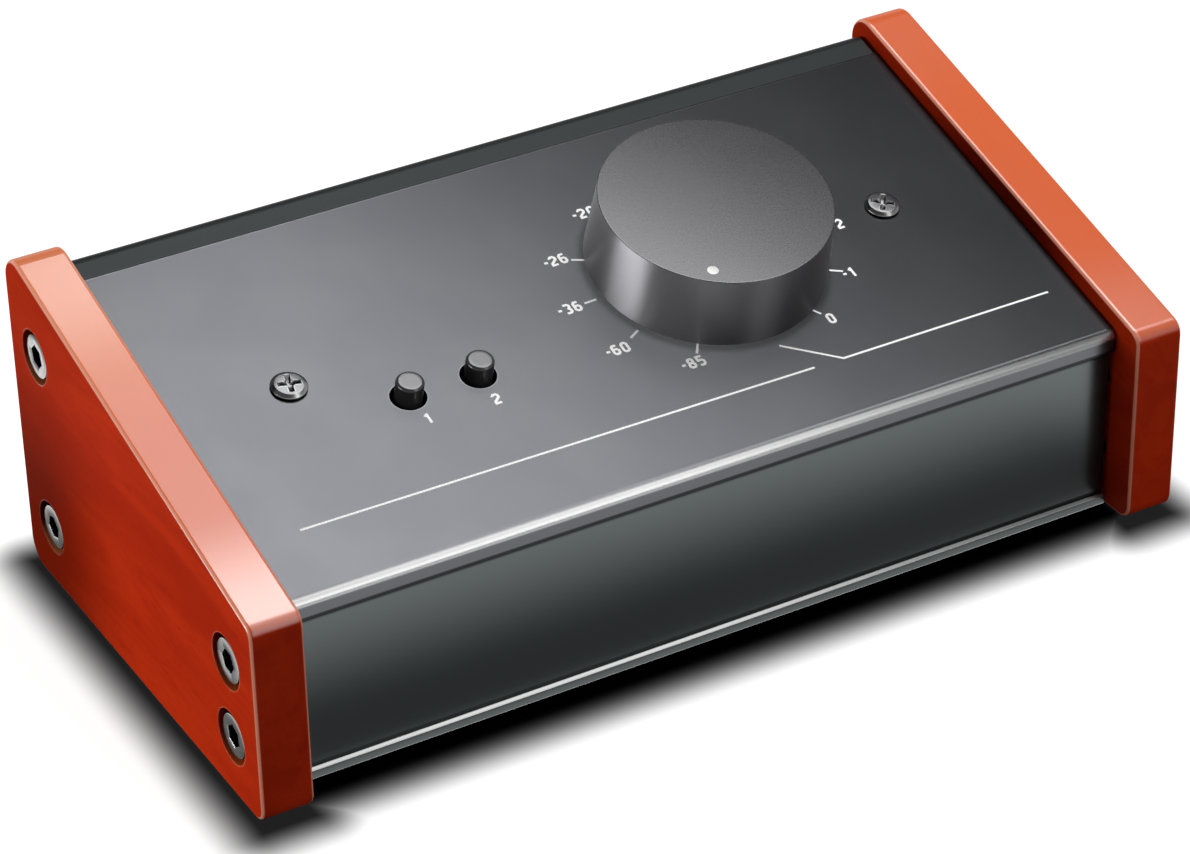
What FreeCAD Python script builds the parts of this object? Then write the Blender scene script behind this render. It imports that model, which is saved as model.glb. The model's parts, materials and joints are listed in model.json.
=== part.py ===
"""Desktop monitor controller: a passive volume box for studio loudspeakers.

Two dark extrusions, the front with the floor and the rear with the connectors, lie between two
wooden cheeks under a folded sheet cover, which carries the volume control and two push buttons.

Row frame, in millimetres: X to the right, Y from the front to the rear, Z up.  The origin is the
centre of the footprint on the table.  Every size lives in the sheet "Sizes"; the objects read it
through expressions.  Pieces on the sloping top are drawn flat and then stood on the slope.
"""
import FreeCAD, Part

import math
import os
import re

import Sketcher

Vector = FreeCAD.Vector

SIZES = [
    ("width", 190, "over both cheeks"),
    ("depth", 97, "of the cheeks, front to rear"),
    ("front_height", 40, "of the cheeks at their front corner"),
    ("slope_angle", 15.4, "rise of the top towards the rear, degrees"),
    ("ground_gap", 1.4, "under the cheeks, left by the feet"),
    ("cheek_thickness", 10, "of the wooden cheeks"),
    ("cheek_rear_round", 5, "corner radius of the cheek outline at the rear"),
    ("cheek_front_round", 3, "corner radius of the cheek outline at the front"),
    ("cheek_arris", 0.8, "rounding of the cheek's long edges"),
    ("panel_drop", 3.3, "from the cheek's top down to the cover, square to the slope"),
    ("port_front_high", 27.9, "height of the upper front cheek screw above the cheek's underside"),
    ("port_offset", 3.4, "screw port axis behind the outer face of its wall"),
    ("port_wall", 0.65, "metal round the thread of an extruded screw port"),
    ("port_gap", 1.5, "between a rear screw port and the connector screws"),
    ("bolt_radius", 2.5, "M5 cheek screw, shank"),
    ("bolt_length", 16, "M5 cheek screw, under the head"),
    ("bolt_head_radius", 4.25, "M5 cheek screw, head"),
    ("bolt_head_height", 5, "M5 cheek screw, head"),
    ("bolt_socket", 4, "M5 cheek screw, across the flats of the socket"),
    ("bolt_socket_depth", 2.8, "M5 cheek screw, depth of the socket"),
    ("counterbore_gap", 0.95, "round the screw head in the cheek"),
    ("head_sink", 1, "screw head below the cheek's outer face"),
    ("hole_gap", 0.25, "radial clearance of a screw or bush in its hole"),
    ("thread_gap", 0.05, "radial clearance of a screw in its thread"),
    ("running_gap", 0.05, "radial clearance of the shaft in its bush"),
    ("chassis_lift", 1.1, "underside of the floor above the cheek's underside"),
    ("chassis_wall", 2, "thickness of the two extrusions"),
    ("floor_lap", 5, "half-thickness lap of the floor on the connector wall's foot"),
    ("edge_break", 0.3, "small rounding along the extrusions' edges"),
    ("lip_height", 2, "of the ledge along the bottom of the front"),
    ("rear_recess", 7.6, "connector wall in front of the cheek's rear edge"),
    ("rail_inset", 2, "rear rail in front of the cheek's rear edge"),
    ("rail_height", 6, "of the rear rail's outer face"),
    ("rail_seat", 4, "length of the step that carries the cover's rear edge"),
    ("rail_round", 3, "rounding of the rear rail's top edge"),
    ("sheet", 1, "thickness of the folded cover"),
    ("cover_inset", 6.2, "cover's front behind the cheek's front edge"),
    ("cover_end", 9.9, "cover's rear edge in front of the cheek's rear edge"),
    ("cover_bend", 2, "outside radius of the cover's front bend"),
    ("flange_height", 4, "of the cover's front flange"),
    ("side_bend", 0.8, "rounding along the cover's side folds"),
    ("side_low", 6, "lower edge of the cover's side flanges above the cheek's underside"),
    ("side_relief", 1.5, "notch between the front bend and the side flange"),
    ("side_land", 1.6, "metal left above the upper rear screw in the side flange"),
    ("edge_gap", 0.15, "between the cover's rear edge and the rail"),
    ("panel_screw_inset", 23, "cover screws from the cheeks"),
    ("panel_screw_down", 38.1, "cover screws down the slope from the cover's rear edge"),
    ("knob_x", 23, "volume shaft, right of the middle"),
    ("knob_down", 38.4, "volume shaft down the slope from the cover's rear edge"),
    ("mute_x", -29.6, "right push button"),
    ("button_pitch", 14, "from the left push button to the right one"),
    ("button_down", 48.2, "push buttons down the slope from the cover's rear edge"),
    ("cap_radius", 2.6, "of a button cap"),
    ("cap_gap", 0.8, "round a button cap in its hole"),
    ("cap_rise", 4, "of a button cap above the cover"),
    ("cap_edge", 0.5, "rounding of a button cap's rim"),
    ("cap_depth", 8, "underside of the cap's collar below the cover's top"),
    ("collar_ledge", 0.7, "collar that keeps the cap in, past the radius of its hole"),
    ("collar_height", 1.2, "of the collar that keeps the cap in"),
    ("plunger_width", 3, "square plunger of a switch"),
    ("plunger_grip", 4, "length of plunger inside the cap"),
    ("button_travel", 2.5, "stroke of a push button"),
    ("switch_width", 8, "of a switch body"),
    ("switch_length", 8.5, "of a switch body, up the slope"),
    ("switch_clear", 3, "between a pressed cap and its switch"),
    ("switch_gap", 0.2, "round a plunger and under it at full stroke"),
    ("plunger_entry", 1, "length of plunger inside the switch at rest"),
    ("knob_radius", 22.6, "at the knob's foot"),
    ("knob_taper", 0.8, "knob's top smaller in radius by this much"),
    ("knob_height", 15.9, "knob's top above the cover"),
    ("knob_gap", 0.8, "under the knob"),
    ("knob_edge", 0.4, "bevel round the knob's top and foot"),
    ("knob_recess_radius", 12, "hollow under the knob"),
    ("knob_recess_gap", 2, "roof of the hollow above the bush"),
    ("knob_roof", 2.4, "knob's metal over the end of the shaft"),
    ("pointer_radius", 1.05, "of the white dot"),
    ("pointer_length", 1.2, "of the plug that makes the white dot"),
    ("pointer_inset", 2.9, "white dot's middle from the knob's top edge"),
    ("pointer_angle", 32.3, "white dot left of straight down at the stop, degrees"),
    ("shaft_radius", 3, "of the volume shaft"),
    ("shaft_flat", 1.5, "flat of the shaft from its axis"),
    ("shaft_tail", 8, "length of shaft inside the potentiometer"),
    ("grub_radius", 1.5, "M3 set screw"),
    ("grub_length", 8, "M3 set screw"),
    ("bushing_radius", 3.5, "threaded bush of the potentiometer"),
    ("bushing_top", 5.5, "end of the bush above the cover"),
    ("nut_width", 10, "of the potentiometer nut, across the flats"),
    ("nut_height", 2, "of the potentiometer nut"),
    ("washer_radius", 6.2, "under the potentiometer nut"),
    ("washer_height", 0.5, "under the potentiometer nut"),
    ("pot_width", 17, "of the potentiometer"),
    ("pot_plate", 2, "front plate of the potentiometer"),
    ("pot_gangs", 4, "sections of the potentiometer"),
    ("gang_step", 0.8, "groove between two sections"),
    ("gang_inset", 0.6, "depth of the groove between two sections"),
    ("board_depth", 22, "control board below the cover's underside"),
    ("board_thickness", 1.6, "of both boards"),
    ("board_ear", 6, "control board past its screws to the sides"),
    ("board_edge", 1, "control board past what it carries to the front and the rear"),
    ("spacer_width", 5.5, "hexagonal spacers, across the flats"),
    ("small_screw_radius", 1.5, "M3 screws, shank"),
    ("small_screw_length", 7, "M3 screws, under the head"),
    ("small_head_radius", 2.8, "M3 pan head"),
    ("small_head_height", 1.7, "M3 pan head"),
    ("panel_head_radius", 3.25, "pan head of the cover screws"),
    ("panel_head_height", 2, "pan head of the cover screws"),
    ("connector_height", 30.5, "connector axis above the cheek's underside"),
    ("connector_gap", 2, "from a connector flange to the cheek or to the next flange"),
    ("plate_width", 26, "connector flange"),
    ("plate_height", 31, "connector flange"),
    ("plate_thickness", 2, "connector flange"),
    ("plate_round", 3, "corners of the connector flange"),
    ("plate_screw_margin", 3.5, "connector screws from the edges of the flange"),
    ("barrel_radius", 11.8, "connector body behind its flange"),
    ("combo_depth", 21, "body of an input socket behind its flange"),
    ("jack_radius", 3.25, "6.35 mm jack hole"),
    ("jack_depth", 20, "6.35 mm jack hole"),
    ("groove_inner", 7.7, "ring groove for the plug shell"),
    ("groove_outer", 9.6, "ring groove for the plug shell"),
    ("groove_depth", 12, "ring groove for the plug shell"),
    ("contact_circle", 5.4, "contacts from the connector's axis"),
    ("contact_hole", 1.35, "radius of an input contact hole"),
    ("contact_depth", 9, "of an input contact hole"),
    ("pin_radius", 1.2, "output pins"),
    ("pin_recess", 1.5, "output pin ends behind the flange's face"),
    ("pin_tail", 3, "of an output pin behind its shell"),
    ("cavity_radius", 9.5, "inside of an output shell"),
    ("cavity_depth", 12, "open depth of an output shell"),
    ("insert_height", 4, "insulator in an output shell"),
    ("shell_floor", 1, "wall behind the insulator"),
    ("tail_window", 7.5, "radius of the hole behind the insulator"),
    ("mini_radius", 1.8, "3.5 mm jack hole"),
    ("mini_bore", 14, "3.5 mm jack hole, depth"),
    ("mini_bush", 3, "radius of the 3.5 mm jack's bush"),
    ("mini_rise", 3.2, "bush outside the wall"),
    ("mini_width", 10, "body of the 3.5 mm jack"),
    ("mini_depth", 13, "body of the 3.5 mm jack behind the wall"),
    ("mini_nut_radius", 4.5, "round nut of the 3.5 mm jack"),
    ("mini_nut_height", 2, "round nut of the 3.5 mm jack"),
    ("board_side_gap", 4, "between the rear board and the extrusions' ends"),
    ("rear_board_depth", 28, "rear board, front to rear"),
    ("post_inner", 14, "rear spacers of the rear board, from the middle"),
    ("post_margin", 4, "front spacers from the rear board's edges"),
    ("header_width", 20, "ribbon connectors"),
    ("header_depth", 6, "ribbon connectors"),
    ("header_height", 9, "ribbon connectors"),
    ("header_x", -12, "ribbon connectors"),
    ("header_gap", 1, "between the rear ribbon connector and the screw heads behind it"),
    ("control_header_down", 33.4, "upper ribbon connector down the slope from the cover's rear edge"),
    ("ribbon_width", 12.7, "of the ribbon cable"),
    ("ribbon_thickness", 1.2, "of the ribbon cable"),
    ("ribbon_bend", 4, "centre-line radius of the ribbon cable's bend"),
    ("ribbon_drop", 2, "ribbon cable below the top of its connector"),
    ("resistor_radius", 1.2, "of a resistor"),
    ("resistor_waist", 0.18, "middle of a resistor smaller in radius by this much"),
    ("resistor_length", 6.5, "of a resistor"),
    ("resistor_pitch", 9, "from one resistor to the next"),
    ("resistor_count", 8, "resistors on the rear board"),
    ("resistor_gap", 2, "between the resistors and the rear ribbon connector"),
    ("foot_radius", 6, "rubber feet"),
    ("foot_taper", 0.8, "rubber feet, smaller underneath by this much"),
    ("foot_margin", 12, "rubber feet from the edges of the underside"),
]

# Positions that several pieces share, written as expressions of the sizes.
FRONT = "(-depth / 2)"
REAR = "(depth / 2)"
INNER_HALF = "(width / 2 - cheek_thickness)"
CHANNEL_HALF = f"({INNER_HALF} - sheet)"
COVER_FRONT = f"({FRONT} + cover_inset)"
WALL_FRONT = f"({COVER_FRONT} + sheet)"
WALL_REAR = f"({REAR} - rear_recess)"
RAIL_REAR = f"({REAR} - rail_inset)"
COVER_REAR = f"({REAR} - cover_end)"
CHANNEL_LOW = "(ground_gap + chassis_lift)"
FLOOR_TOP = f"({CHANNEL_LOW} + chassis_wall)"
AXIS_Z = "(ground_gap + connector_height)"
BOARD_TOP = f"({AXIS_Z} - barrel_radius)"
BOLT_HOLE = "(bolt_radius + hole_gap)"
HEAD_DEPTH = "(bolt_head_height + head_sink)"
SMALL_HOLE = "(small_screw_radius + hole_gap)"
SMALL_THREAD = "(small_screw_radius + thread_gap)"

# The rear screw ports lie above and below the connector screws; the lower front one is level.
PLATE_SCREW_X = "(plate_width / 2 - plate_screw_margin)"
PLATE_SCREW_Z = "(plate_height / 2 - plate_screw_margin)"
PLATE_SCREWS = [(f"-{PLATE_SCREW_X}", PLATE_SCREW_Z), (PLATE_SCREW_X, f"-{PLATE_SCREW_Z}")]
PORT_RADIUS = "(bolt_radius + thread_gap + port_wall)"
PORT_REACH = f"({PLATE_SCREW_Z} + small_screw_radius + port_gap + {PORT_RADIUS})"
PORTS = [
    (f"({WALL_FRONT} + port_offset)", f"({AXIS_Z} - {PORT_REACH})"),
    (f"({WALL_FRONT} + port_offset)", "(ground_gap + port_front_high)"),
    (f"({WALL_REAR} - port_offset)", f"({AXIS_Z} - {PORT_REACH})"),
    (f"({WALL_REAR} - port_offset)", f"({AXIS_Z} + {PORT_REACH})"),
]

# The rear board ends in front of the screw ports and of the connector screws' tips.
PORT_FACE = f"({WALL_REAR} - port_offset - {PORT_RADIUS})"
SCREW_TIP = f"({WALL_REAR} + plate_thickness - small_screw_length)"
BOARD_REAR = f"(min({SCREW_TIP}; {PORT_FACE}) - 2 * hole_gap)"
BOARD_FRONT = f"({BOARD_REAR} - rear_board_depth)"
BOARD_HALF = f"({CHANNEL_HALF} - board_side_gap)"
POST_REAR = f"({PORT_FACE} - spacer_width)"
REAR_HEADER_Y = f"({POST_REAR} - small_head_radius - header_gap - header_depth / 2)"
MINI_Z = f"({BOARD_TOP} + mini_width / 2)"

# Places on the slope, measured up from the front corner of the cheeks' outline.
UP_REAR = f"(({COVER_REAR} - {FRONT} - panel_drop * sin(slope_angle)) / cos(slope_angle))"
KNOB_UP = f"({UP_REAR} - knob_down)"
BUTTON_UP = f"({UP_REAR} - button_down)"
SCREW_UP = f"({UP_REAR} - panel_screw_down)"
HEADER_UP = f"({UP_REAR} - control_header_down)"
SCREW_X = f"({INNER_HALF} - panel_screw_inset)"
SCREW_SIDES = (f"-{SCREW_X}", SCREW_X)
MONO_X = "(mute_x - button_pitch)"
MUTE_X = "mute_x"

# Heights over the cover's top, square to the slope.
BOARD_RISE = "(-sheet - board_depth)"
POT_LOW = "(-sheet - pot_plate)"
RECESS_TOP = "(bushing_top + knob_recess_gap)"
SHAFT_TOP = "(knob_height - knob_roof)"
KNOB_TOP_RADIUS = "(knob_radius - knob_taper)"
BUTTON_HOLE = "(cap_radius + cap_gap)"

CONTACTS = [("contact_circle", "0"), ("-contact_circle", "0"), ("0", "-contact_circle")]
OUTER_X = f"({INNER_HALF} - connector_gap - plate_width / 2)"
INNER_X = f"({OUTER_X} - plate_width - connector_gap)"
OUTPUTS = {"left": f"-{OUTER_X}", "right": f"-{INNER_X}"}
INPUTS = {"left": INNER_X, "right": OUTER_X}

doc = FreeCAD.newDocument("MonitorController")
sheet = doc.addObject("Spreadsheet::Sheet", "Sizes")
for row, (alias, number, note) in enumerate(SIZES, start=1):
    sheet.set(f"A{row}", alias.replace("_", " "))
    sheet.set(f"B{row}", str(number))
    sheet.setAlias(f"B{row}", alias)
    sheet.set(f"C{row}", note)
doc.recompute()

ALIASES = {alias for alias, _, _ in SIZES}
nodes = []


# ---------------------------------------------------------------- expressions and placements

def expression(text):
    """Writes a rule in the sheet's terms: every alias gets the sheet's name in front."""
    return re.sub(r"[a-z][a-z_]*", lambda m: f"Sizes.{m[0]}" if m[0] in ALIASES else m[0], text)


def value(text):
    """The present value of a rule, in millimetres or degrees."""
    return float(sheet.evalExpression(expression(text)))


def bind(thing, prop, text):
    thing.setExpression(prop, expression(text))


def top_z(y):
    """Height of the cover's top plane at y."""
    return (f"(ground_gap + front_height - panel_drop / cos(slope_angle)"
            f" + ({y} + depth / 2) * tan(slope_angle))")


def under_z(y):
    """Height of the cover's underside at y."""
    return f"({top_z(y)} - sheet / cos(slope_angle))"


def panel_y(up, rise):
    """Y of a point that is up the slope by `up` and above the cover's top plane by `rise`."""
    return f"({FRONT} + (panel_drop - ({rise})) * sin(slope_angle) + ({up}) * cos(slope_angle))"


def panel_z(up, rise):
    """Z of a point that is up the slope by `up` and above the cover's top plane by `rise`."""
    return (f"(ground_gap + front_height + (({rise}) - panel_drop) * cos(slope_angle)"
            f" + ({up}) * sin(slope_angle))")


def place(thing, x="0", y="0", z="0"):
    bind(thing, "Placement.Base.x", x)
    bind(thing, "Placement.Base.y", y)
    bind(thing, "Placement.Base.z", z)


def place_on_panel(thing, x, up, rise="0"):
    """Stands a piece square to the sloping cover."""
    thing.Placement = FreeCAD.Placement(Vector(), FreeCAD.Rotation(Vector(1, 0, 0), 1))
    bind(thing, "Placement.Rotation.Angle", "slope_angle")
    place(thing, x, panel_y(up, rise), panel_z(up, rise))


# ---------------------------------------------------------------- sketches and features

def new_body(label, node=True):
    body = doc.addObject("PartDesign::Body", label)
    body.Label = label
    if node:
        nodes.append(body)
    return body


def plane_of(body, role):
    return next(feature for feature in body.Origin.OriginFeatures if feature.Role == role)


def new_sketch(body, role, offset="0", tilt=None):
    """A sketch on one of the body's planes, moved along the plane's normal by `offset`.

    `tilt` is a triple (y, z, angle) for a sketch on the XY plane that is tipped about X instead.
    """
    sketch = body.newObject("Sketcher::SketchObject", "Sketch")
    sketch.AttachmentSupport = (plane_of(body, role), [""])
    sketch.MapMode = "FlatFace"
    if tilt is None:
        bind(sketch, "AttachmentOffset.Base.z", offset)
        return sketch
    sketch.AttachmentOffset = FreeCAD.Placement(Vector(), FreeCAD.Rotation(Vector(1, 0, 0), 1))
    bind(sketch, "AttachmentOffset.Base.y", tilt[0])
    bind(sketch, "AttachmentOffset.Base.z", tilt[1])
    bind(sketch, "AttachmentOffset.Rotation.Angle", tilt[2])
    return sketch


def constrain(sketch, kind, items, rule):
    index = sketch.addConstraint(Sketcher.Constraint(kind, *items, value(rule)))
    bind(sketch, f"Constraints[{index}]", rule)


def polygon(sketch, corners):
    """Closed outline through corners given as pairs of rules."""
    first = sketch.GeometryCount
    count = len(corners)
    points = [Vector(value(x), value(y), 0) for x, y in corners]
    for index in range(count):
        sketch.addGeometry(Part.LineSegment(points[index], points[(index + 1) % count]), False)
    for index in range(count):
        following = first + (index + 1) % count
        sketch.addConstraint(Sketcher.Constraint("Coincident", first + index, 2, following, 1))
    for index, (x, y) in enumerate(corners):
        constrain(sketch, "DistanceX", (-1, 1, first + index, 1), x)
        constrain(sketch, "DistanceY", (-1, 1, first + index, 1), y)


def rectangle(sketch, low_x, low_y, high_x, high_y):
    polygon(sketch, [(low_x, low_y), (high_x, low_y), (high_x, high_y), (low_x, high_y)])


def circle(sketch, x, y, radius):
    index = sketch.GeometryCount
    centre = Vector(value(x), value(y), 0)
    sketch.addGeometry(Part.Circle(centre, Vector(0, 0, 1), value(radius)), False)
    constrain(sketch, "DistanceX", (-1, 1, index, 3), x)
    constrain(sketch, "DistanceY", (-1, 1, index, 3), y)
    constrain(sketch, "Radius", (index,), radius)


def hexagon(sketch, across_flats):
    """Regular hexagon about the sketch's origin, with two corners on its horizontal axis."""
    corners = [(f"({across_flats}) / sqrt(3) * cos({60 * k})",
                f"({across_flats}) / sqrt(3) * sin({60 * k})") for k in range(6)]
    polygon(sketch, corners)


def extrude(body, kind, sketch, length, reverse=False, symmetric=False):
    feature = body.newObject(kind, kind.split("::")[1])
    feature.Profile = sketch
    feature.Reversed = reverse
    if symmetric:
        feature.SideType = "Symmetric"
    bind(feature, "Length", length)
    doc.recompute()
    return feature


def pad(body, sketch, length, reverse=False, symmetric=False):
    return extrude(body, "PartDesign::Pad", sketch, length, reverse, symmetric)


def pocket(body, sketch, length, reverse=False, symmetric=False):
    """Cuts, and makes sure that the cut took something away."""
    before = body.Shape.Volume
    feature = extrude(body, "PartDesign::Pocket", sketch, length, reverse, symmetric)
    if body.Shape.Volume > before - 1e-6:
        raise RuntimeError(f"{body.Label}: a pocket cuts nothing")
    return feature


def revolve(body, corners):
    """Turns a closed half outline (radius, height) about the body's Z axis."""
    sketch = new_sketch(body, "XZ_Plane")
    polygon(sketch, corners)
    feature = body.newObject("PartDesign::Revolution", "Revolution")
    feature.Profile = sketch
    feature.ReferenceAxis = (sketch, ["V_Axis"])
    feature.Angle = 360
    doc.recompute()
    return feature


def round_edges(body, radius, test):
    """Rounds the edges of the body that pass a test."""
    base = body.Tip
    names = [f"Edge{i}" for i, edge in enumerate(base.Shape.Edges, start=1) if test(edge)]
    feature = body.newObject("PartDesign::Fillet", "Fillet")
    feature.Base = (base, names)
    bind(feature, "Radius", radius)
    doc.recompute()
    return feature


def runs_along_x(edge):
    span = edge.BoundBox
    return span.XLength > 1 and span.YLength < 1e-6 and span.ZLength < 1e-6


def near(edge, y, z):
    """True for an edge along X whose y and z are the given rules."""
    centre = edge.BoundBox.Center
    return runs_along_x(edge) and abs(centre.y - value(y)) < 1e-4 and abs(centre.z - value(z)) < 1e-4


def copies(label, master, places):
    """One node made of several equal solids: the master body's shape at each placement."""
    group = doc.addObject("Part::Feature", label)
    group.Label = label
    solids = []
    for placement in places:
        solid = master.Shape.copy()
        solid.Placement = placement
        solids.append(solid)
    group.Shape = Part.makeCompound(solids)
    nodes.append(group)
    return group


def at(x, y, z, axis=(1, 0, 0), angle=0.0):
    """Placement from three rules and a turn in degrees."""
    turn = FreeCAD.Rotation(Vector(*axis), angle)
    return FreeCAD.Placement(Vector(value(x), value(y), value(z)), turn)


def at_panel(x, up, rise, flip=False):
    """Placement square to the slope; `flip` turns the piece upside down."""
    turn = FreeCAD.Rotation(Vector(1, 0, 0), value("slope_angle") + (180 if flip else 0))
    base = Vector(value(x), value(panel_y(up, rise)), value(panel_z(up, rise)))
    return FreeCAD.Placement(base, turn)


# ---------------------------------------------------------------- wooden cheeks

def cheek(label, outer_low, left):
    """Wedge of wood with rounded corners and four counterbored screw holes."""
    body = new_body(label)
    sketch = new_sketch(body, "YZ_Plane")
    rear_top = "(ground_gap + front_height + depth * tan(slope_angle))"
    low = "ground_gap"
    corners = [(FRONT, low), (REAR, low), (REAR, rear_top), (FRONT, "(ground_gap + front_height)")]
    polygon(sketch, corners)
    pad(body, sketch, "cheek_thickness")
    rear = corners[1:3]
    front = (corners[0], corners[3])
    round_edges(body, "cheek_rear_round", lambda e: any(near(e, y, z) for y, z in rear))
    round_edges(body, "cheek_front_round", lambda e: any(near(e, y, z) for y, z in front))
    round_edges(body, "cheek_arris", lambda e: e.BoundBox.XLength < 1e-6)
    outer = "0" if left else "cheek_thickness"
    counterbore = ("bolt_head_radius + counterbore_gap", HEAD_DEPTH)
    for radius, length in (counterbore, (BOLT_HOLE, "cheek_thickness")):
        sketch = new_sketch(body, "YZ_Plane", outer)
        for y, z in PORTS:
            circle(sketch, y, z, radius)
        pocket(body, sketch, length, reverse=left)
    place(body, outer_low)
    return body


# ---------------------------------------------------------------- extrusions

LAP_FRONT = f"({WALL_REAR} - chassis_wall - floor_lap)"
LAP_TOP = f"({CHANNEL_LOW} + chassis_wall / 2)"
WALL_REAR_INSIDE = f"({WALL_REAR} - chassis_wall)"
EXTRUSION_LENGTH = f"2 * {CHANNEL_HALF}"


def extrusion(label, outline):
    """Outline seen from the side, drawn out along X between the cheeks."""
    body = new_body(label)
    sketch = new_sketch(body, "YZ_Plane")
    polygon(sketch, outline)
    pad(body, sketch, EXTRUSION_LENGTH, symmetric=True)
    return body


def screw_ports(body, ports):
    """Round bosses along the whole extrusion, tapped for the cheek screws."""
    sketch = new_sketch(body, "YZ_Plane")
    for y, z in ports:
        circle(sketch, y, z, PORT_RADIUS)
    pad(body, sketch, EXTRUSION_LENGTH, symmetric=True)
    sketch = new_sketch(body, "YZ_Plane")
    for y, z in ports:
        circle(sketch, y, z, "bolt_radius + thread_gap")
    pocket(body, sketch, "2 * width", symmetric=True)


def chassis():
    """Front wall with a ledge, and the floor, which laps over the foot of the connector wall."""
    wall_inside = f"({WALL_FRONT} + chassis_wall)"
    ledge_top = f"({CHANNEL_LOW} + lip_height)"
    body = extrusion("chassis", [
        (COVER_FRONT, CHANNEL_LOW),
        (LAP_FRONT, CHANNEL_LOW),
        (LAP_FRONT, LAP_TOP),
        (WALL_REAR_INSIDE, LAP_TOP),
        (WALL_REAR_INSIDE, FLOOR_TOP),
        (wall_inside, FLOOR_TOP),
        (wall_inside, under_z(wall_inside)),
        (WALL_FRONT, under_z(WALL_FRONT)),
        (WALL_FRONT, ledge_top),
        (COVER_FRONT, ledge_top),
    ])
    bend_clearance = "cover_bend - sheet + 2 * edge_gap"
    round_edges(body, bend_clearance, lambda e: near(e, WALL_FRONT, under_z(WALL_FRONT)))
    ledge = [(COVER_FRONT, CHANNEL_LOW), (COVER_FRONT, ledge_top)]
    round_edges(body, "edge_break", lambda e: any(near(e, y, z) for y, z in ledge))
    screw_ports(body, PORTS[:2])

    sketch = new_sketch(body, "XY_Plane", CHANNEL_LOW)
    for x, y in posts():
        circle(sketch, x, y, SMALL_HOLE)
    pocket(body, sketch, "2 * chassis_wall", reverse=True)
    return body


def rear_panel():
    """Connector wall with its foot below, and the rail above that carries the cover's rear edge."""
    step_y = f"({COVER_REAR} + edge_gap)"
    step_low_y = f"({step_y} + sheet * sin(slope_angle))"
    step_low_z = f"({top_z(step_y)} - sheet * cos(slope_angle))"
    seat_y = f"({step_y} - rail_seat)"
    rail_low = f"({top_z(RAIL_REAR)} - rail_height)"
    body = extrusion("rear_panel", [
        (LAP_FRONT, CHANNEL_LOW),
        (WALL_REAR, CHANNEL_LOW),
        (WALL_REAR, rail_low),
        (RAIL_REAR, rail_low),
        (RAIL_REAR, top_z(RAIL_REAR)),
        (step_y, top_z(step_y)),
        (step_low_y, step_low_z),
        (seat_y, under_z(seat_y)),
        (seat_y, rail_low),
        (WALL_REAR_INSIDE, rail_low),
        (WALL_REAR_INSIDE, LAP_TOP),
        (LAP_FRONT, LAP_TOP),
    ])
    round_edges(body, "rail_round", lambda e: near(e, RAIL_REAR, top_z(RAIL_REAR)))
    sharp = [(WALL_REAR, CHANNEL_LOW), (RAIL_REAR, rail_low)]
    round_edges(body, "edge_break", lambda e: any(near(e, y, z) for y, z in sharp))
    screw_ports(body, PORTS[2:])

    sketch = new_sketch(body, "XZ_Plane", f"-{WALL_REAR}")
    for x in (*OUTPUTS.values(), *INPUTS.values()):
        circle(sketch, x, AXIS_Z, "barrel_radius + hole_gap")
        for dx, dz in PLATE_SCREWS:
            circle(sketch, f"{x} + {dx}", f"{AXIS_Z} + {dz}", SMALL_THREAD)
    circle(sketch, "0", MINI_Z, "mini_bush + hole_gap")
    pocket(body, sketch, "2 * chassis_wall", reverse=True)
    return body


# ---------------------------------------------------------------- folded cover

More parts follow.
